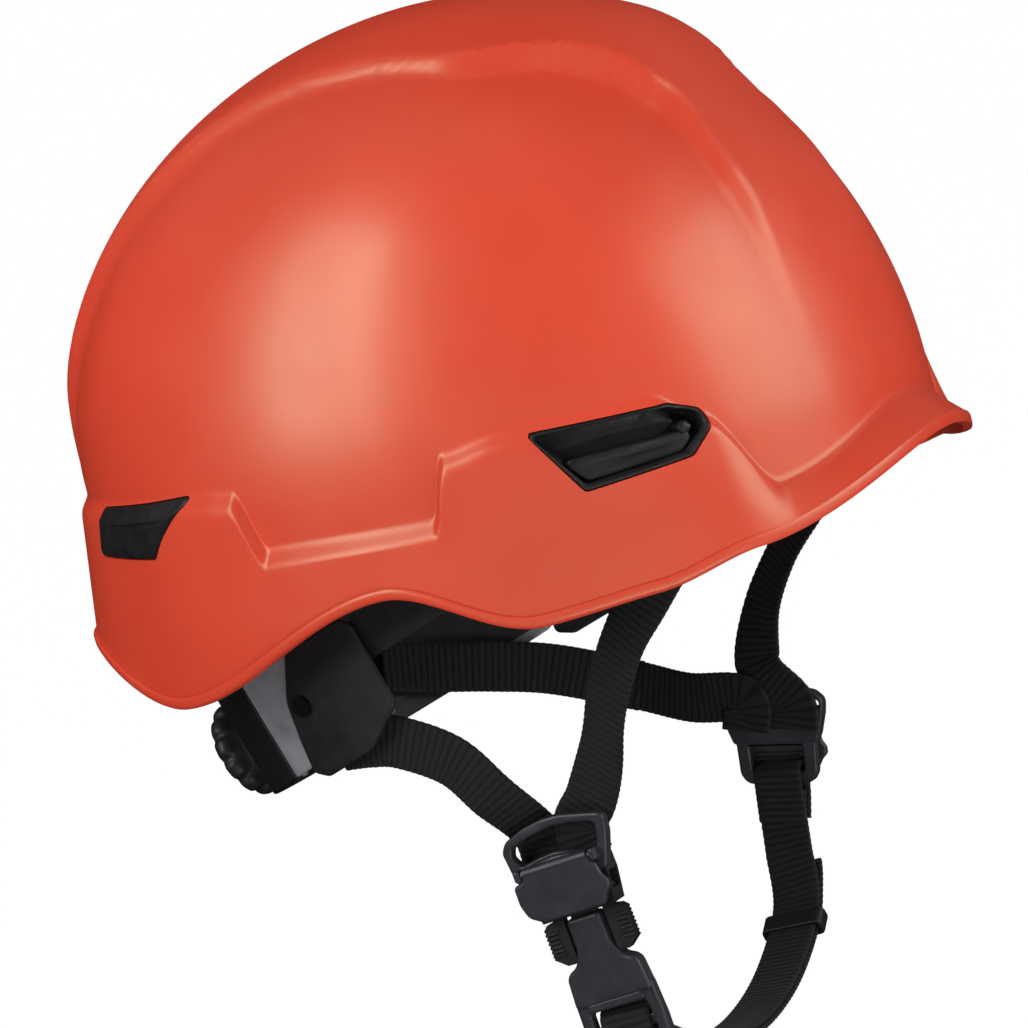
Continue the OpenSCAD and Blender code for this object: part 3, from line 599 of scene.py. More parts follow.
def skin_r(a, z):
    """Distance of the shell's outside from the crown's axis, skirt and ledge included."""
    d = degrees_round(a)
    top, skirt_top, lip_top = skirt_levels(a)
    step, out = keyed(d, STEP_KEYS), keyed(d, OUT_KEYS)
    on_ledge = np.clip((top - z) / np.maximum(top - skirt_top, 0.01), 0, 1)
    on_skirt = np.clip((skirt_top - z) / (skirt_top - lip_top), 0, 1)
    return dome_r(a, z) + np.where(z >= skirt_top, step * on_ledge, mix(step, out, on_skirt))


def soften(rows, first, last):
    """Rounds the corners of the profile from the first row up to the last, which is fixed."""
    for _ in range(3):
        rows[first:last] = (rows[first - 1:last - 1] + 2 * rows[first:last]
                            + rows[first + 1:last + 1]) / 4


def shell_angles():
    """Angles of the upright slices, closer where the ledge climbs and falls."""
    angles, a = [], 0.0
    fine = [(22, 50), (70, 82), (102, 118)]
    while a < 180:
        angles.append(a)
        a += 0.5 if any(low <= a < high for low, high in fine) else 1.2
    return np.radians(np.array(angles + [180.0] + [360 - v for v in angles[:0:-1]]))


ROWS_BELOW_DOME = 31


def outer_rows(a, inset=0.0, dome_rows=84):
    """Heights and distances of the skin down each slice, from the crown to the lip's top."""
    top, skirt_top, lip_top = skirt_levels(a)
    d = degrees_round(a)
    step, out = keyed(d, STEP_KEYS), keyed(d, OUT_KEYS)
    crown = CROWN - inset
    near = top + 3.0
    rows = []
    for i in range(1, dome_rows + 1):
        z = crown - (crown - near) * (i / dome_rows) ** 1.6
        rows.append((dome_r(a, z, inset), z))
    for t in np.linspace(0, 1, 6)[1:]:
        z = mix(near, top, t)
        rows.append((dome_r(a, z, inset), z))
    for t in np.linspace(0, 1, 8)[1:]:
        z = mix(top, skirt_top, t)
        rows.append((dome_r(a, z) - inset + step * t, z))
    for t in np.r_[np.linspace(0, 0.12, 5)[1:], np.linspace(0.12, 1, 16)[1:]]:
        z = mix(skirt_top, lip_top, t)
        rows.append((dome_r(a, z) - inset + mix(step, out, t), z))
    return rows


def shell_surface():
    """Grid of the whole skin: outside from the crown down, round the lip, and up the inside."""
    a = shell_angles()
    outside = outer_rows(a)
    grid = np.array([with_crest(place(a, r, z)) for r, z in outside])
    soften(grid, len(grid) - 1 - ROWS_BELOW_DOME, len(grid) - 1)
    lip_r, lip_z = outside[-1]
    lip = [(0.5, 0.1), (1.0, -0.25), (1.2, -0.8), (1.2, -1.5), (1.15, -2.2), (0.9, -2.9),
           (0.3, -3.3), (-0.6, -3.4), (-1.8, -3.4), (-2.5, -3.3), (-2.8, -2.8)]
    stand_out = mix(0.3, 1.0, ease((degrees_round(a) - LIP_FADE_FROM) / LIP_FADE_OVER))
    edge = np.array([place(a, lip_r + (dr * stand_out if dr > 0 else dr), lip_z + dz)
                     for dr, dz in lip])
    inner = np.array([place(a, r, z) for r, z in outer_rows(a, WALL, 40)[::-1]])
    return np.concatenate([grid, edge, inner])


def make_shell(material):
    rows = shell_surface()
    verts, faces = loft(rows)
    n = rows.shape[1]
    first, last = len(verts), len(verts) + 1
    crown = with_crest(np.array([[AXIS_X, 0, CROWN]]))
    verts = np.concatenate([verts, crown, [[AXIS_X, 0, CROWN - WALL]]])
    base = (len(rows) - 1) * n
    faces += [(first, (k + 1) % n, k) for k in range(n)]
    faces += [(last, base + k, base + (k + 1) % n) for k in range(n)]
    obj = place_mesh("shell_skin", *flipped((verts, faces)), material, "helmet", ["shell"],
                     "shell_red", 180)
    cut_openings(obj)
    obj.data.shade_smooth()
    obj.data.set_sharp_from_angle(angle=math.radians(40))


def cut_openings(obj):
    """Cuts the openings of the slots and the rear clips through the shell."""
    openings = ((SLOT_ANGLE, SLOT_Z, SLOT_OUTLINE), (CLIP_ANGLE, CLIP_Z, CLIP_OUTLINE))
    cut_verts, cut_faces = join_parts([
        solid([[skin_point(side, angle, x, z, centre_z, lift) for x, z in outline]
               for lift in (-9, 4)])
        for side in SIDE_NAMES for angle, centre_z, outline in openings])
    cutter = bpy.data.meshes.new("cutter")
    cutter.from_pydata([tuple(v) for v in cut_verts * MM], [], cut_faces)
    tool = bpy.data.objects.new("cutter", cutter)
    bpy.context.scene.collection.objects.link(tool)
    cut = obj.modifiers.new("openings", "BOOLEAN")
    cut.object, cut.operation, cut.solver = tool, "DIFFERENCE", "EXACT"
    bake_modifiers(obj)
    bpy.data.objects.remove(tool)


def bake_modifiers(obj):
    """Puts what the modifiers make into the mesh itself."""
    depsgraph = bpy.context.evaluated_depsgraph_get()
    mesh = bpy.data.meshes.new_from_object(obj.evaluated_get(depsgraph), depsgraph=depsgraph)
    obj.modifiers.clear()
    old = obj.data
    obj.data = mesh
    bpy.data.meshes.remove(old)


# ---- accessory slots and rear clips ----

SIDE_NAMES = {-1: "right", 1: "left"}
SLOT_ANGLE, SLOT_Z = math.radians(49.5), -8.0
CLIP_ANGLE, CLIP_Z = math.radians(130), -6.0
SLOT_CORNERS = [(-23, 8, 1), (15, 5.5, 1.5), (22, 0, 4), (17, -6.5, 1.5), (-12, -8, 1.5)]
SLOT_CLEARANCE = 0.25


def slot_outline():
    """Outline drawn round the slot's corner circles (x, z, radius)."""
    circles = [(x + math.copysign(SLOT_CLEARANCE, x), z + math.copysign(SLOT_CLEARANCE, z), r)
               for x, z, r in SLOT_CORNERS]
    outline = []
    for t in np.linspace(0, 2 * math.pi, 72, endpoint=False):
        d = np.array([math.cos(t), math.sin(t)])
        outline.append(max((np.array([x, z]) + r * d for x, z, r in circles),
                           key=lambda point: float(point @ d)))
    return even_outline(outline, 96)


def even_outline(outline, count):
    """Points at even spacing round a closed outline."""
    p = np.asarray(list(outline) + [outline[0]], float)
    run = np.r_[0, np.cumsum(np.linalg.norm(np.diff(p, axis=0), axis=1))]
    at = np.linspace(0, run[-1], count, endpoint=False)
    return list(zip(np.interp(at, run, p[:, 0]), np.interp(at, run, p[:, 1])))


SLOT_OUTLINE = slot_outline()
CLIP_OUTLINE = even_outline(corners([(-22.8, 8.6, 1.5), (6, 8.9, 0), (26, 9.6, 1), (11.4, -1.4, 2),
                                     (6.4, -6.8, 1.5), (-29, -5.2, 1.5)], 6), 90)


def skin_point(side, angle, x, z, centre_z, lift):
    """Point above the skin, x forward along it and z up from a fitting's centre."""
    here_and_ahead = np.array([angle, angle - math.radians(1)])
    p = place(here_and_ahead, dome_r(here_and_ahead, np.array([SLOT_Z, SLOT_Z])), 0.0)
    heading = (p[1] - p[0])[:2]
    heading /= np.linalg.norm(heading)
    centre_r = dome_r(np.array(angle), np.array(centre_z)) + SKIRT_STEP
    centre = place(np.array(angle), centre_r, centre_z)
    q = centre[:2] + heading * x
    a = math.atan2(q[1], q[0] - AXIS_X)
    height = centre_z + z
    on_skin = place(np.array(a), skin_r(np.array(a), np.array(height)), height)
    return (on_skin + np.array([math.cos(a), math.sin(a), 0.0]) * lift) * [1, side, 1]


def fitted_solid(side, angle, centre_z, outline, levels):
    """Solid fitted to the skin, from an outline and its levels (shrink, lift above the skin)."""
    middle = np.mean(outline, axis=0)
    spread = np.abs(np.array(outline) - middle).max(0)
    rings = []
    for shrink, lift in levels:
        scale = np.maximum(0.02, 1 - shrink / spread)
        shrunk = [middle + (np.array(point) - middle) * scale for point in outline]
        rings.append([skin_point(side, angle, x, z, centre_z, lift) for x, z in shrunk])
    return solid(rings)


def make_slot(side, material):
    """Liner of an accessory slot: a flange, a deep pocket and a shelf along its lower half."""
    levels = [(0.3, -9.4), (0.3, -0.9), (0.45, -0.5), (0.9, -0.35), (1.3, -0.5), (1.6, -1.1),
              (1.9, -3), (2.1, -7.6), (2.7, -8), (6, -8), (7.2, -8)]
    shelf_outline = even_outline(rounded([(-17.5, -0.6), (19.5, -1.0), (20, -3.6), (16, -6.6),
                                          (-11, -7.6)], 1.2), 60)
    shelf_levels = [(0, -8), (0, -3.6), (0.3, -3.2), (0.8, -3.0), (2.6, -3.3), (3.3, -3.3)]
    turns = np.linspace(0, 6.2, 20)
    peg_outline = [(18.5 + 2.0 * math.cos(t), -0.2 + 1.6 * math.sin(t)) for t in turns]
    peg_levels = [(0, -8), (0, -2.4), (0.3, -2.1), (1.2, -1.9)]
    parts = [fitted_solid(side, SLOT_ANGLE, SLOT_Z, *shape)
             for shape in ((SLOT_OUTLINE, levels), (shelf_outline, shelf_levels),
                           (even_outline(peg_outline, 20), peg_levels))]
    name = "slot_insert_" + SIDE_NAMES[side]
    place_mesh(name + "_liner", *join_parts(parts), material, "helmet", [name], "plastic_black", 40)


def make_clip(side, material):
    """Rear lamp clip that fills its opening, with a groove round it and a slightly crowned face."""
    levels = [(0.3, -6), (0.3, -1.2), (0.35, -0.3), (0.6, 0.1), (1.1, 0.3), (2.5, 0.5), (4.5, 0.65),
              (6.5, 0.7)]
    name = "rear_clip_" + SIDE_NAMES[side]
    face = fitted_solid(side, CLIP_ANGLE, CLIP_Z, CLIP_OUTLINE, levels)
    place_mesh(name + "_face", *face, material, "helmet", [name], "plastic_black", 40)


# ---- webbing ----

WEB_W, WEB_T = 15.0, 1.6
RIB_PITCH = 2.0


def webbing(points, normals, width=WEB_W, thickness=WEB_T):
    """Ribbed tape along a path: (verts, faces, rib height at each point)."""
    at, points, normals = resample(points, RIB_PITCH / (8), normals)
    along = headings(points)
    across = unit_rows(np.cross(normals, along))
    face = np.cross(along, across)
    rib = np.abs(np.sin(math.pi * at / RIB_PITCH)) ** 0.55
    half_across = np.array([0.15, 0.45, 0.75, 0.9, 0.97, 1])
    half_depth = np.array([1, 1, 1, 0.95, 0.72, 0.35])
    us = np.r_[-half_across[::-1], half_across]
    depth = np.r_[half_depth[::-1], half_depth]
    half_w, half_t = width / 2 - 0.1, thickness / 2
    rings, ribs = [], []
    for p, w, f, h in zip(points, across, face, rib):
        thick = (half_t - 0.17 + 0.26 * h) * depth
        wide = us * (half_w + 0.14 * h)
        upper = p + wide[:, None] * w + thick[:, None] * f
        lower = p + wide[::-1, None] * w - thick[::-1, None] * f
        rings.append(np.concatenate([upper, lower]))
        ribs.append(np.full(2 * len(us), h))
    verts, faces = loft(np.array(rings)[:, ::-1], caps=True)
    return verts, faces, np.concatenate(ribs)


def strap_piece(name, parts, body, material, replaces=(), slot="webbing"):
    """One piece of webbing from the results of several webbing() calls."""
    verts, faces = join_parts([(v, f) for v, f, _ in parts])
    return place_mesh(name, verts, faces, material, body, replaces, slot, 60,
                      np.concatenate([r for _, _, r in parts]))


# ---- the dividers' and the band's own frames ----

YOKE_PITCH = {-1: math.radians(7), 1: math.radians(-8)}
YOKE_ORIGIN = {-1: np.array([20.8, -77.0, -113.0]), 1: np.array([20.8, 77.0, -115.0])}


def pitched(p, angle):
    """Point turned about Y, so that X rises towards Z."""
    p = np.asarray(p, float)
    c, s = math.cos(angle), math.sin(angle)
    return np.stack([p[..., 0] * c - p[..., 2] * s, p[..., 1], p[..., 0] * s + p[..., 2] * c], -1)


def at_yoke(side, p):
    """World place of a point in a divider's frame: X forward, Y outward, Z up."""
    return YOKE_ORIGIN[side] + pitched(np.asarray(p, float) * [1, side, 1], YOKE_PITCH[side])


RING_CENTRE = np.array([-19.0, 0, -54.7])
BAND_TILT = math.radians(18.5)
ARM_R, ARM_T = 76.2, 1.5
LEFT_ARM_R = ARM_R + ARM_T + 0.5
CRADLE_R = LEFT_ARM_R + ARM_T + 0.5
PLATE_T = 2.0
BACK_R = ARM_R - 0.5
ANCHOR_T = 1.8
HOUSING_Z = CRADLE_R + PLATE_T + 0.1
HOUSING_H = 5.5
KNOB_Z = HOUSING_Z + HOUSING_H + 0.6


def from_ring(p):
    """World place of a point in the band's frame."""
    return RING_CENTRE + pitched(p, BAND_TILT)


def on_band(r, degrees, z):
    a = np.radians(degrees)
    r, a, z = np.broadcast_arrays(r, a, z)
    return from_ring(np.stack([r * np.cos(a), r * np.sin(a), z], -1))


def on_knob(p):
    """World place of a point whose Z is along the knob's axis, out of the back."""
    p = np.asarray(p, float)
    return from_ring(np.stack([-p[..., 2], p[..., 1], p[..., 0]], -1))


def wrap_on_band(outline, holes, r0, r1, bevel, side):
    """Plate whose outline is (degrees round the band, height), wrapped between two radii."""
    facet = 2.0
    scale = math.radians(1) * (r0 + r1) / 2
    flat = [[(a * scale, z) for a, z in loop] for loop in [outline, *holes]]
    verts, faces = plate(flat[0], flat[1:], 0, r1 - r0, bevel)
    work = bmesh.new()
    ids = [work.verts.new(v) for v in verts]
    for f in faces:
        if len(set(f)) == len(f):
            try:
                work.faces.new([ids[i] for i in f])
            except ValueError:
                continue
    low, high = verts[:, 0].min(), verts[:, 0].max()
    for x in np.arange(low + facet, high, facet):
        bmesh.ops.bisect_plane(work, geom=work.verts[:] + work.edges[:] + work.faces[:],
                               plane_co=(x, 0, 0), plane_no=(1, 0, 0))
    work.verts.index_update()
    verts = np.array([v.co[:] for v in work.verts])
    faces = [tuple(v.index for v in f.verts) for f in work.faces]
    work.free()
    placed = on_band(r0 + verts[:, 2], side * verts[:, 0] / scale, verts[:, 1])
    return flipped((placed, faces), side < 0)


def on_divider(side, part):
    """Puts a plate, whose height runs outward, on a divider."""
    verts, faces = part
    return flipped((at_yoke(side, verts[:, [0, 2, 1]]), faces), side > 0)


# ---- soft pieces ----

CLOTH_FRAMES = 20


def coordinates(obj):
    return np.array([v.co[:] for v in obj.data.vertices])


def settle_cloth(obj, pressure, cap_mm):
    """Blows a closed mesh up as sewn cloth. No point moves further than cap_mm."""
    scene = bpy.context.scene
    rest = coordinates(obj)
    cloth = obj.modifiers.new("cloth", "CLOTH")
    cloth.settings.use_pressure = True
    cloth.settings.uniform_pressure_force = pressure
    cloth.settings.effector_weights.gravity = 0
    cloth.settings.quality = 5
    cloth.settings.mass = 0.3
    for f in range(1, CLOTH_FRAMES + 1):
        scene.frame_set(f)
    blown = coordinates(obj.evaluated_get(bpy.context.evaluated_depsgraph_get()))
    obj.modifiers.clear()
    scene.frame_set(1)
    move = blown - rest
    far = np.linalg.norm(move, axis=1)
    move *= np.minimum(1, cap_mm * MM / np.maximum(far, 1e-9))[:, None]
    obj.data.vertices.foreach_set("co", (rest + move).ravel())
    obj.data.update()


def stuffed(node, part, material, voxel_mm, cap_mm, channel):
    """Pad from a slightly small closed form. channel(points) gives each point's sewn-in depth."""
    obj = place_mesh(node + "_cover", *part, material, "helmet", [node], "pad_fabric", 180)
    remesh = obj.modifiers.new("even", "REMESH")
    remesh.mode, remesh.voxel_size = "VOXEL", voxel_mm * MM
    bake_modifiers(obj)
    settle_cloth(obj, 4.0, cap_mm)
    smooth = obj.modifiers.new("smooth", "SUBSURF")
    smooth.levels = smooth.render_levels = 1
    bake_modifiers(obj)
    points = coordinates(obj)
    normals = np.array([v.normal[:] for v in obj.data.vertices])
    points -= normals * channel(points / MM)[:, None] * MM
    obj.data.vertices.foreach_set("co", points.ravel())
    obj.data.update()
    obj.data.shade_smooth()


def to_band(points):
    """Band angle in degrees and height above its middle plane, of world points."""
    x, y, z = pitched(points - RING_CENTRE, -BAND_TILT).T
    return np.degrees(np.arctan2(y, x)), z


def seam(distance, width, depth):
    return depth * np.exp(-(distance / width) ** 2)


BAND_FRONT, BAND_SIDE = 112.0, 81.6
NAPE_PAD_R = BACK_R - 2.0 - 2.2      # the nape pad's back, clear of the backplate and its screws


def band_wall(angles, profile):
    """Closed wall along the front band. Profile is a list of (outward offset, height)."""
    rings = [[from_ring(((BAND_FRONT + g) * math.cos(a), (BAND_SIDE + g) * math.sin(a), z))
              for g, z in profile] for a in np.radians(angles)]
    return flipped(loft(rings, caps=True))


def round_wall(angles, profile):
    """Closed wall along the round rear of the band. Profile is a list of (radius, height)."""
    return flipped(loft([[on_band(r, a, z) for r, z in profile] for a in angles], caps=True))


def pad_profile(low, high, x0, x1):
    return rounded([(x0, low), (x1, low), (x1, high), (x0, high)], 2.0, 4)


def make_pads(fabric):
    def brow_channels(points):
        degrees, z = to_band(points)
        quilting = sum(seam(degrees - a, 0.9, 0.9) for a in (-36, -12, 12, 36))
        return quilting + seam(np.abs(z - 2) - 12.2, 0.8, 0.5)

    brow = band_wall(np.linspace(-51, 51, 90), pad_profile(-10.8, 14.8, -5.4, -1.9))
    stuffed("brow_pad", brow, fabric, 1.6, 1.0, brow_channels)

    def nape_channels(points):
        degrees, z = to_band(points)
        degrees = np.abs(degrees) - 180
        return seam(degrees + 9, 0.8, 0.9) + seam(np.abs(z) - 12.6, 0.7, 0.5)

    nape = round_wall(np.linspace(156, 204, 60),
                      pad_profile(-14, 14, NAPE_PAD_R - 5, NAPE_PAD_R - 0.6))
    stuffed("nape_pad", nape, fabric, 1.5, 0.7, nape_channels)

    def crown_channels(points):
        r = np.hypot(points[:, 0] - AXIS_X, points[:, 1])
        return seam(r - 22.5, 0.9, 0.7) + seam(r - 9, 0.9, 0.6)

    profile = [(0.6, 75.8), (20, 75.8), (23.5, 76.6), (25.6, 78.4), (25.8, 79.6), (24.6, 80.5),
               (20, 80.8), (0.6, 80.8)]
    verts, faces = revolve(profile, 72)
    verts = verts + [AXIS_X, 0, 0]
    stuffed("crown_pad", (verts, faces), fabric, 1.6, 0.5, crown_channels)


LINER_GAP, LINER_T = 1.2, 12.0


def make_liner(material):
    """Foam dome with air channels in its underside."""
    outer_inset, inner_inset, low = WALL + LINER_GAP, WALL + LINER_GAP + LINER_T, 34.0
    a = np.linspace(0, 2 * math.pi, 240, endpoint=False)
    rings = []
    top = CROWN - outer_inset
    for t in np.linspace(0.04, 1, 30):
        z = top - (top - low) * t ** 1.7
        rings.append(place(a, dome_r(a, z, outer_inset), z))
    for inset in (outer_inset + 0.5, outer_inset + 1.2, inner_inset - 1.2):
        rings.append(place(a, dome_r(a, low, inset), low))
    top = CROWN - inner_inset
    for t in np.linspace(1, 0.05, 40):
        z = top - (top - low) * t ** 1.7
        groove = np.exp(-(((np.degrees(a) + 15) % 30 - 15) / 3.2) ** 2) * ease((t - 0.18) / 0.1)
        rings.append(place(a, dome_r(a, z, inner_inset) + 2.4 * groove, z))
    verts, faces = flipped(loft(rings))
    faces.append(tuple(range(len(a))))
    faces.append(tuple(range(len(verts) - 1, len(verts) - len(a) - 1, -1)))
    place_mesh("foam_liner", verts, faces, material, "helmet", ["impact_liner"], "foam", 50)


# ---- textile cradle and side straps ----

CRADLE_INSET = WALL + LINER_GAP + LINER_T + 3.4
CRADLE_WEB_W, CRADLE_WEB_T = 20.0, 1.4
CRADLE_GAP = 2.2
CROSS_ANGLE = 67.0


def arch(degrees, t, drop):
    """Point of a cradle strap, with t from -1 to 1 over the crown."""
    towards = math.radians(degrees + 180 if t < 0 else degrees)
    top = CROWN - CRADLE_INSET - drop
    h = mix(top, 12.0, 1 - math.cos(math.radians(90 * abs(t))))
    return place(np.array(towards), dome_r(np.array(towards), np.array(h + drop), CRADLE_INSET), h)


def make_cradle(material):
    for name, degrees, layer in (("long", 0, 0), ("cross_a", CROSS_ANGLE, 1),
                                 ("cross_b", 180 - CROSS_ANGLE, 2)):
        points = np.array([arch(degrees, t, layer * CRADLE_GAP) for t in np.linspace(-1, 1, 73)])
        part = webbing(points, points - [AXIS_X, 0, 0], CRADLE_WEB_W, CRADLE_WEB_T)
        strap_piece("cradle_webbing_" + name, [part], "helmet", material,
                    ["cradle_strap_" + name])


FRONT_ROUTE = {
    -1: [(80, -77, -38), (68, -81, -51), (57, -81, -64), (49, -80, -77), (42, -77, -91),
         (34, -74, -103)],
    1: [(78, 78, -38), (60, 81, -48), (46, 82, -59), (35, 82, -70), (25, 80.5, -84),
        (21, 76.5, -97), (22, 73.8, -104)]}
REAR_ROUTE = {
    -1: [(-34, -80.8, -75), (-24, -82.2, -75.2), (-15, -82, -77), (-1, -81, -85), (8, -80, -97)],
    1: [(-80, 36.8, -75), (-71, 48, -79.4), (-57, 59.5, -84.5), (-42, 69.5, -90.5),
        (-21, 77.5, -101), (-3, 74, -107)]}
ROUTE_STEPS = 12         # points from one point of a route to the next
ROUND_BACK_X = -20       # behind here the rear straps lie round the band
# How far each front strap's face turns forward, by height.
FRONT_TURN = {-1: [(-103, 0), (-82, -0.45), (-60, -0.45), (-46, 0.3)],
              1: [(-105, 0), (-65, 1.1), (-55, 1.1), (-44, 0.5)]}


def make_side_straps(material):
    for side, name in SIDE_NAMES.items():
        front = spline(FRONT_ROUTE[side] + [at_yoke(side, (7.6, -3, 2)),
                                            at_yoke(side, (7.4, -3, -6))], ROUTE_STEPS)
        turn = keyed(front[:, 2], FRONT_TURN[side])
        part = webbing(front, np.stack([turn, np.full(len(front), float(side)), 0 * turn], -1))
        strap_piece("front_webbing_" + name, [part], "helmet", material, ["front_strap_" + name])
        rear = spline(REAR_ROUTE[side] + [at_yoke(side, (-7, -5.2, 4)),
                                          at_yoke(side, (-7, -5.2, -5.5))], ROUTE_STEPS)
        back = np.array([math.cos(BAND_TILT), 0, math.sin(BAND_TILT)])
        from_axis = rear - RING_CENTRE
        round_back = (from_axis @ back)[:, None] * back + from_axis[:, 1:2] * [0, 1, 0]
        part = webbing(rear, np.where(rear[:, :1] < ROUND_BACK_X, round_back, [0.0, side, 0.0]))
        strap_piece("rear_webbing_" + name, [part], "helmet", material, ["rear_strap_" + name])


# ---- chin strap ----

CHIN_ROUTE = [(16, 76, -146), (16, 73, -157), (18.5, 63, -172), (20, 37, -184.5), (20.5, 10, -190),
              (22, -16, -188), (24.5, -42, -181), (26, -62, -172)]
TAIL_START, KEEPER_AT = 2.25, 3.25      # counted in points of the route
TAIL_GAP, TAIL_FLARE = 2.1, 3.0


def chin_path():
    points = spline([at_yoke(1, (0, -0.6, -24.4))] + CHIN_ROUTE
                    + [at_yoke(-1, (0, -6, -56)), at_yoke(-1, (0, -5.4, -49))], ROUTE_STEPS)
    along = headings(points)
    normals = np.stack([np.zeros(len(points)), along[:, 2], -along[:, 1]], -1)
    return points, along, unit_rows(normals)


def divider_webbing(side, route):
    """Webbing along a route (y, z) in the middle plane of a divider."""
    path = spline([at_yoke(side, (0, y, z)) for y, z in route], 8)
    return webbing(path, side * np.cross([1.0, 0, 0], np.gradient(path, axis=0)))


def make_chin_strap(material):
    points, _, normals = chin_path()
    main = webbing(points, normals)
    sewn = divider_webbing(1, [(-2.8, -34), (-2.9, -28), (-2.9, -21), (-1.9, -18), (0, -17.1),
                               (1.9, -18), (2.9, -21), (2.8, -27), (0.9, -34)])
    lock = divider_webbing(-1, [(-4.5, -47.6), (-4.2, -49.4), (-2.0, -51.4), (-0.9, -54.5),
                                (-2.0, -57.6), (-4.1, -59.3), (-4.4, -61.2)])
    strap_piece("chin_webbing", [main, sewn, lock], "chin", material, ["chin_strap"])

    first, last = int(TAIL_START * ROUTE_STEPS), len(points) - 1 - 2 * ROUTE_STEPS
    run = np.arange(first, last + 1)
    lift = TAIL_GAP + TAIL_FLARE * ease((2.9 - run / ROUTE_STEPS) / 0.65)
    tail = points[run] - normals[run] * lift[:, None]
    strap_piece("chin_webbing_tail", [webbing(tail, normals[run])], "chin", material,
                ["chin_strap_tail"])


def make_keeper(material):
    points, along, normals = chin_path()
    at = int(KEEPER_AT * ROUTE_STEPS)
    middle = points[at] - normals[at] * TAIL_GAP / 2
    across = np.cross(normals[at], along[at])
    outer = corners(mirrored([(9.6, -2.9, 1.8), (9.6, 2.9, 1.8)]), 4)
    inner = corners(mirrored([(8.1, -1.95, 0.8), (8.1, 1.95, 0.8)]), 3)
    verts, faces = plate(outer, [inner], -3.2, 3.2, 0.5)
    verts = middle + verts[:, :1] * across + verts[:, 1:2] * normals[at] + verts[:, 2:] * along[at]
    place_moulding("keeper_sleeve", [(verts, faces)], material, "chin", "strap_keeper")


def make_stitching(material):
    """Rows of zigzag stitches that close the loop on the left divider's bar."""
    stitches = []
    for row_z in (-29.6, -30.6, -31.6):
        row_y = 3.15 + (row_z + 29) * 0.29
        zigzag = [at_yoke(1, (x, row_y + 0.12 * (k % 2), row_z + 0.35 * (k % 2)))
                  for k, x in enumerate(np.linspace(-6.3, 6.3, 26))]
        stitches.append(tube(zigzag, 0.22, 6))
    place_mesh("chin_stitching", *join_parts(stitches), material, "chin", slot="webbing",
               crease=180)


# ---- dividers and buckle ----

def rib_edge(x, z0, z1, pitch, depth):
    """Saw-tooth edge between two heights."""
    count = int(abs(z1 - z0) / pitch) * 2
    return [(x - (depth if k % 2 else 0), z) for k, z in enumerate(np.linspace(z0, z1, count + 1))]


YOKE_RIGHT = [(-15.6, 1.6, 2.5), (-13.6, 4.2, 3), (-7.5, 6.4, 8), (-0.7, 7.5, 12), (4.8, 7.3, 12),
              (11.8, 5.8, 12), (18.2, 4.2, 2), (17.2, -1.5, 6), (14.8, -7.6, 4), (13.6, -10.6, 1.5),
              (-13.2, -10.8, 1.5), (-14.8, -6.4, 4)]
WINDOW_RIGHT = [(-13.2, -0.6, 1), (-12.2, 2.0, 2), (-6, 3.8, 8), (1.6, 4.8, 12), (8, 4.2, 10),
                (14.8, 2.5, 1.2), (13.9, -1.8, 4), (12.2, -5.4, 1.2), (6, -3.3, 8), (-0.7, -2.1, 8),
                (-5.5, -2.5, 8), (-11.4, -3.6, 1.2)]
YOKE_LEFT = [(-15.6, 1.6, 2.5), (-13.6, 4.2, 3), (-7.5, 6.4, 8), (0, 7.2, 12), (7.5, 6.4, 8),
             (14, 5, 3), (17, 2.4, 2.5), (16.4, -2, 4), (14.6, -8, 4), (13.4, -10.6, 1.5),
             (-13.2, -10.8, 1.5), (-14.8, -6.4, 4)]
WINDOW_LEFT = [(-12.8, -0.6, 1), (-12, 2.0, 2), (-6, 3.6, 8), (0, 4.2, 12), (6, 3.8, 8),
               (11.4, 2.6, 2), (11.8, -0.8, 1.5), (11.2, -4.6, 1.5), (6, -3.2, 8), (-0.7, -2.3, 8),
               (-5.5, -2.5, 8), (-11.4, -3.6, 1.2)]
YOKE_BROW = [(-13.4, -7.2, 0.6), (-12.6, -5.2, 1), (-6.5, -3.3, 8), (-0.7, -2.7, 12),
             (5.6, -3.4, 8), (11.6, -5.6, 1), (12.9, -7.2, 0.6)]


def make_divider(side, material):
    """Strap divider. The left one also has a bar for the chin strap's loop."""
    name = "yoke_" + SIDE_NAMES[side]
    outline, holes = corners(YOKE_RIGHT), [corners(WINDOW_RIGHT, 4)]
    plates = []
    if side > 0:
        lower = corners(mirrored([(12.6, -10, 0.3), (12.4, -19.6, 3), (10.4, -22.8, 3)]))
        gap = corners(mirrored([(8.5, -10.6, 1.4), (8.5, -19.1, 1.4)]), 4)
        plates.append(plate(lower, [gap], -1.6, 1.6, 0.7))
        outline, holes = corners(YOKE_LEFT), [corners(WINDOW_LEFT, 4), circle(14.4, 1.2, 1.1, 16)]
    plates += [plate(outline, holes, -1.8, 1.9, 0.75),
               plate(corners(YOKE_BROW), [], 1.2, 3.1, 1.3, 5)]
    plates += [bar((x0, -7.2, 1.2), (x0 + 2.1, -3.9, 5.0), 0.6) for x0 in (-13.2, 11.1)]
    place_moulding(name + "_frame", [on_divider(side, p) for p in plates], material, "helmet",
                   name)


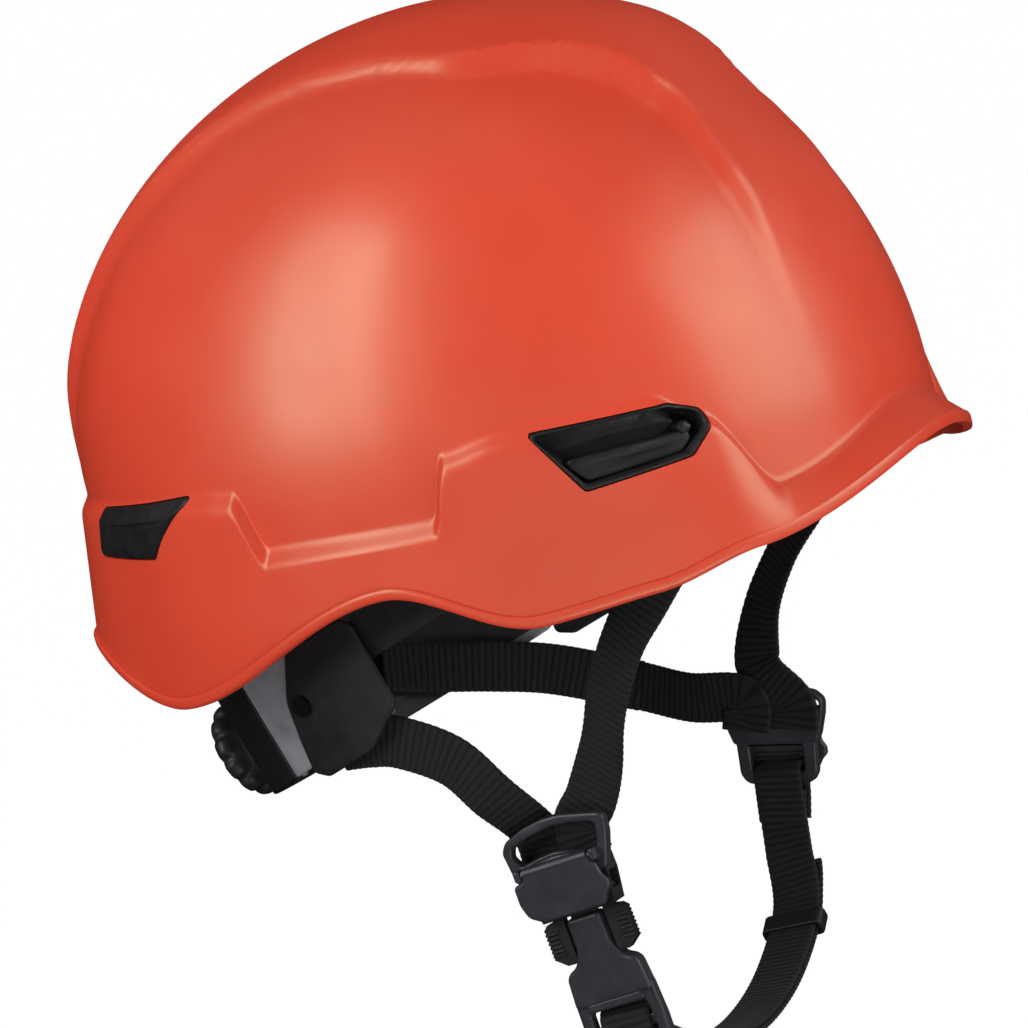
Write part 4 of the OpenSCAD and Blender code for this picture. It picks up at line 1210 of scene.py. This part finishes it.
def make_lever(side, material):
    outline = [(-10.6, -4.4, 0.8), (10.6, -4.4, 0.8), (10.9, -7.0, 0.5), (12.2, -8.2, 1.2),
               (12.7, -11.2, 2), (14.0, -13.2, 1.2), (14.0, -15.2, 1.2), (12.2, -17.0, 2),
               (10.6, -19.7, 1.6), (-9.2, -19.6, 3), (-13.2, -17.4, 3), (-14.5, -13.2, 5),
               (-14.3, -8.0, 1.2), (-10.9, -7.0, 0.5)]
    pivot = tube([at_yoke(side, (x, 3.5, -5.4)) for x in np.linspace(-10.3, 10.3, 4)], 1.7, 24)
    grips = [bar((-8, z - 0.35, 2.2), (8, z + 0.35, 3.3), 0.25) for z in (-14.5, -16, -17.5)]
    parts = [on_divider(side, plate(corners(outline), [], 3.0, 5.1, 0.8, 5)), pivot,
             *[on_divider(side, g) for g in grips]]
    place_moulding(f"yoke_lever_{SIDE_NAMES[side]}_plate", parts, material,
                   "lever_" + SIDE_NAMES[side], "yoke_lever_" + SIDE_NAMES[side])


def make_plug(material):
    head = corners(mirrored([(5.2, -21.4, 1.2), (5.4, -30.5, 3), (7.4, -34.6, 3),
                             (11.4, -36.4, 3), (12.2, -46.2, 1)]))
    ladder = corners(mirrored([(12.4, -44, 0.5), (12.8, -54, 8), (12.4, -62.2, 3)]))
    opening = corners(mirrored([(9.0, -48.4, 1.2), (9.3, -59.6, 1.2)]), 4)
    tongue = corners(mirrored([(4.0, -12, 2), (4.0, -33, 0.3)]), 4)
    shelf = corners(mirrored([(8.6, -45.4, 0.8), (9.4, -48.2, 0.8)]), 3)
    plates = [plate(head, [], -4.5, 0.9, 1.1, 5), plate(ladder, [opening], -3.9, -0.1, 0.9, 4),
              plate(tongue, [], -3.4, -0.6, 0.5), bar((-9.6, -56, -3.7), (9.6, -53, -2.0), 0.5),
              plate(shelf, [], -3.6, 0.6, 0.8, 4)]
    place_moulding("buckle_plug_body", [on_divider(-1, p) for p in plates], material, "chin",
                   "buckle_plug")


def make_prongs(material):
    outline = [(6.4, -33.8), (10, -33.8), *rib_edge(13.5, -31.2, -22.8, 1.05, 0.45), (12, -21.4),
               (9.6, -21), (9.6, -16.2), (11.8, -16.2), (9.2, -12), (6.4, -12.6)]
    grips = [bar((9.2, z - 0.3, -0.9), (13.2, z + 0.3, 0.05), 0.2)
             for z in np.arange(-30.4, -22.9, 1.25)]
    verts, faces = join_parts([plate(outline, [], -3.5, -0.5, 0.3), *grips])
    for way, name in ((1, "front"), (-1, "rear")):
        prong = flipped((verts * [way, 1, 1], faces), way < 0)
        place_moulding("thumb_prong_" + name, [on_divider(-1, prong)], material, "prong_" + name,
                       "buckle_prong_" + name, crease=30)


# ---- nape cradle and knob ----

ANCHOR_R = CRADLE_R + PLATE_T + 3.2
WING_REAR = 123.0        # the wings are grey as far back as this angle, and the plate is black
POST_ANGLE = 104.6
KNOB_SCALLOPS = 12


def on_wall(outline, holes=(), side=1, r0=CRADLE_R, thickness=PLATE_T):
    """Plate bent round the band from corners (degrees, height, radius)."""
    scale = math.radians(1) * (r0 + (r0 + thickness)) / 2
    flat = corners([(a * scale, z, r) for a, z, r in outline])
    return wrap_on_band([(x / scale, z) for x, z in flat], holes, r0, r0 + thickness, 0.7, side)


def make_nape(grey, black):
    wing = [(WING_REAR + 0.4, -16, 0.8), (112, -15.6, 3), (107.5, -12, 4), (96, 12, 12),
            (91.5, 24, 2), (93, 26, 2), (WING_REAR + 0.4, 26, 0.8)]
    wings = [on_wall(wing, side=side) for side in (1, -1)]
    place_moulding("nape_wings", wings, grey, "helmet", "nape_cradle", "plastic_grey")
    scale = math.radians(1) * (CRADLE_R + 1)
    hub = [(180 + x / scale, z) for x, z in circle(0, 0, 9.0, 48)]
    far_wing = 359.1 - WING_REAR
    edge = [(WING_REAR + 0.9, -16.2, 0.8), (180, -16.5, 0), (far_wing, -16.2, 0.8),
            (far_wing, 25.6, 0.8), (209, 25, 3), (202, 18.5, 4), (196, 16.5, 3), (180, 16.5, 0),
            (164, 16.5, 3), (158, 18.5, 4), (151, 25, 3), (WING_REAR + 0.9, 25.6, 0.8)]
    place_moulding("nape_plate", [on_wall(edge, [hub])], black, "helmet", "nape_cradle",
                   "plastic_grey")


def make_anchors(material):
    """Tabs over the wings' front edges, each with the post that holds it."""
    tab = [(111.8, -17.5, 2), (108.5, -20.6, 3), (96, -20.8, 6), (86.4, -13, 3), (86.2, 12, 3),
           (88, 15, 2), (101.8, 15, 2), (108.2, 3, 6), (110.4, -8, 6)]
    for side in (1, -1):
        wall = on_wall(tab, (), side, ANCHOR_R, ANCHOR_T)
        verts, faces = revolve([(2.4, CRADLE_R + PLATE_T + 0.3), (2.4, ANCHOR_R + 0.3)], 32)
        turn = math.radians(side * POST_ANGLE)
        heading = np.array([[math.cos(turn), math.sin(turn), 0]])
        aside = np.array([[-math.sin(turn), math.cos(turn), 0]])
        verts = verts[:, 2:] * heading + verts[:, :1] * aside + verts[:, 1:2] * [[0, 0, 1.0]]
        post = outward((from_ring(verts), faces))
        place_moulding("anchor_tab_" + SIDE_NAMES[side], [wall, post], material, "helmet",
                       "strap_anchor_" + SIDE_NAMES[side])


def make_knob(material):
    profile = [(3.2, 3.4), (3.2, 0.2), (9.4, 0.0), (10.0, 0.9), (10.6, 2.2), (12.0, 3.5),
               (13.7, 4.6), (14.6, 5.7), (14.9, 7.0), (14.6, 8.4), (13.9, 9.2), (12.8, 9.4),
               (11.6, 8.9), (10.4, 7.7), (8.6, 6.0), (7.0, 4.9), (6.2, 4.7), (5.8, 5.2), (4.6, 5.3),
               (4.1, 4.9), (4.0, 3.6)]
    fine = spline([(r, z, 0) for r, z in profile], 3)[:, :2]
    sides = 240

    def scallop(angle, r):
        wave = (math.cos(KNOB_SCALLOPS * angle) + 1) / 2
        return r - 1.25 * max(0, r - 11.6) / 3.3 * wave ** 3

    verts, faces = revolve(fine.tolist(), sides, scallop)
    last_row = (len(fine) - 1) * sides
    faces = faces[:-2] + [(last_row + k, last_row + (k + 1) % sides, (k + 1) % sides, k)
                          for k in range(sides)]
    verts[:, 2] += KNOB_Z
    lock = revolve([(7.5, HOUSING_Z - 1.4), (7.5, KNOB_Z + 0.8)], 64)
    verts, faces = join_parts([(verts, faces), lock])
    place_mesh("knob_dial", on_knob(verts), faces, material, "knob", ["ratchet_knob"],
               "plastic_black", 40)


# ---- frame pieces that stay as they are ----

def dress(node, material, bevel=0.0):
    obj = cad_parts[node]
    obj.data.materials.clear()
    obj.data.materials.append(material)
    if bevel:
        edge = obj.modifiers.new("edges", "BEVEL")
        edge.width, edge.segments = bevel * MM, 2
        edge.limit_method, edge.angle_limit = "ANGLE", math.radians(40)
        edge.harden_normals = True


def main():
    make_camera()
    make_lights()
    make_backdrop()
    paint = shell_paint()
    black = moulded("moulded_black", (0.010, 0.010, 0.011), 0.42, 0.58)
    satin = moulded("satin_black", (0.022, 0.024, 0.028), 0.34, 0.46)
    grey = moulded("satin_grey", (0.20, 0.205, 0.22), 0.36, 0.5)
    gear = moulded("acetal_dark", (0.05, 0.05, 0.053), 0.35, 0.5)
    tape = ribbed_webbing()
    steel = plated_steel("plated_steel", (0.42, 0.42, 0.43))
    dark_steel = plated_steel("blackened_steel", (0.012, 0.012, 0.013))
    make_shell(paint)
    for side in (-1, 1):
        make_slot(side, black)
        make_clip(side, black)
        make_divider(side, satin)
        make_lever(side, satin)
    make_liner(bead_foam())
    make_pads(knit_fabric())
    make_cradle(tape)
    make_side_straps(tape)
    make_chin_strap(tape)
    make_keeper(black)
    make_stitching(thread())
    make_plug(satin)
    make_prongs(black)
    make_nape(grey, black)
    make_anchors(black)
    make_knob(black)
    for node, bevel in (("cradle_anchors", 0.5), ("head_band_front", 0.0), ("band_hangers", 0.3),
                        ("band_arm_right", 0.0), ("band_arm_left", 0.0), ("nape_backplate", 0.3),
                        ("ratchet_housing", 0.4), ("buckle_socket", 0.7)):
        dress(node, black, bevel)
    for node in ("cradle_screws", "knob_screw", "lever_pins"):
        dress(node, steel, 0.25)
    dress("strap_rivets", dark_steel, 0.25)
    for node in ("ratchet_pinion", "detent_spring"):
        dress(node, gear)


main()
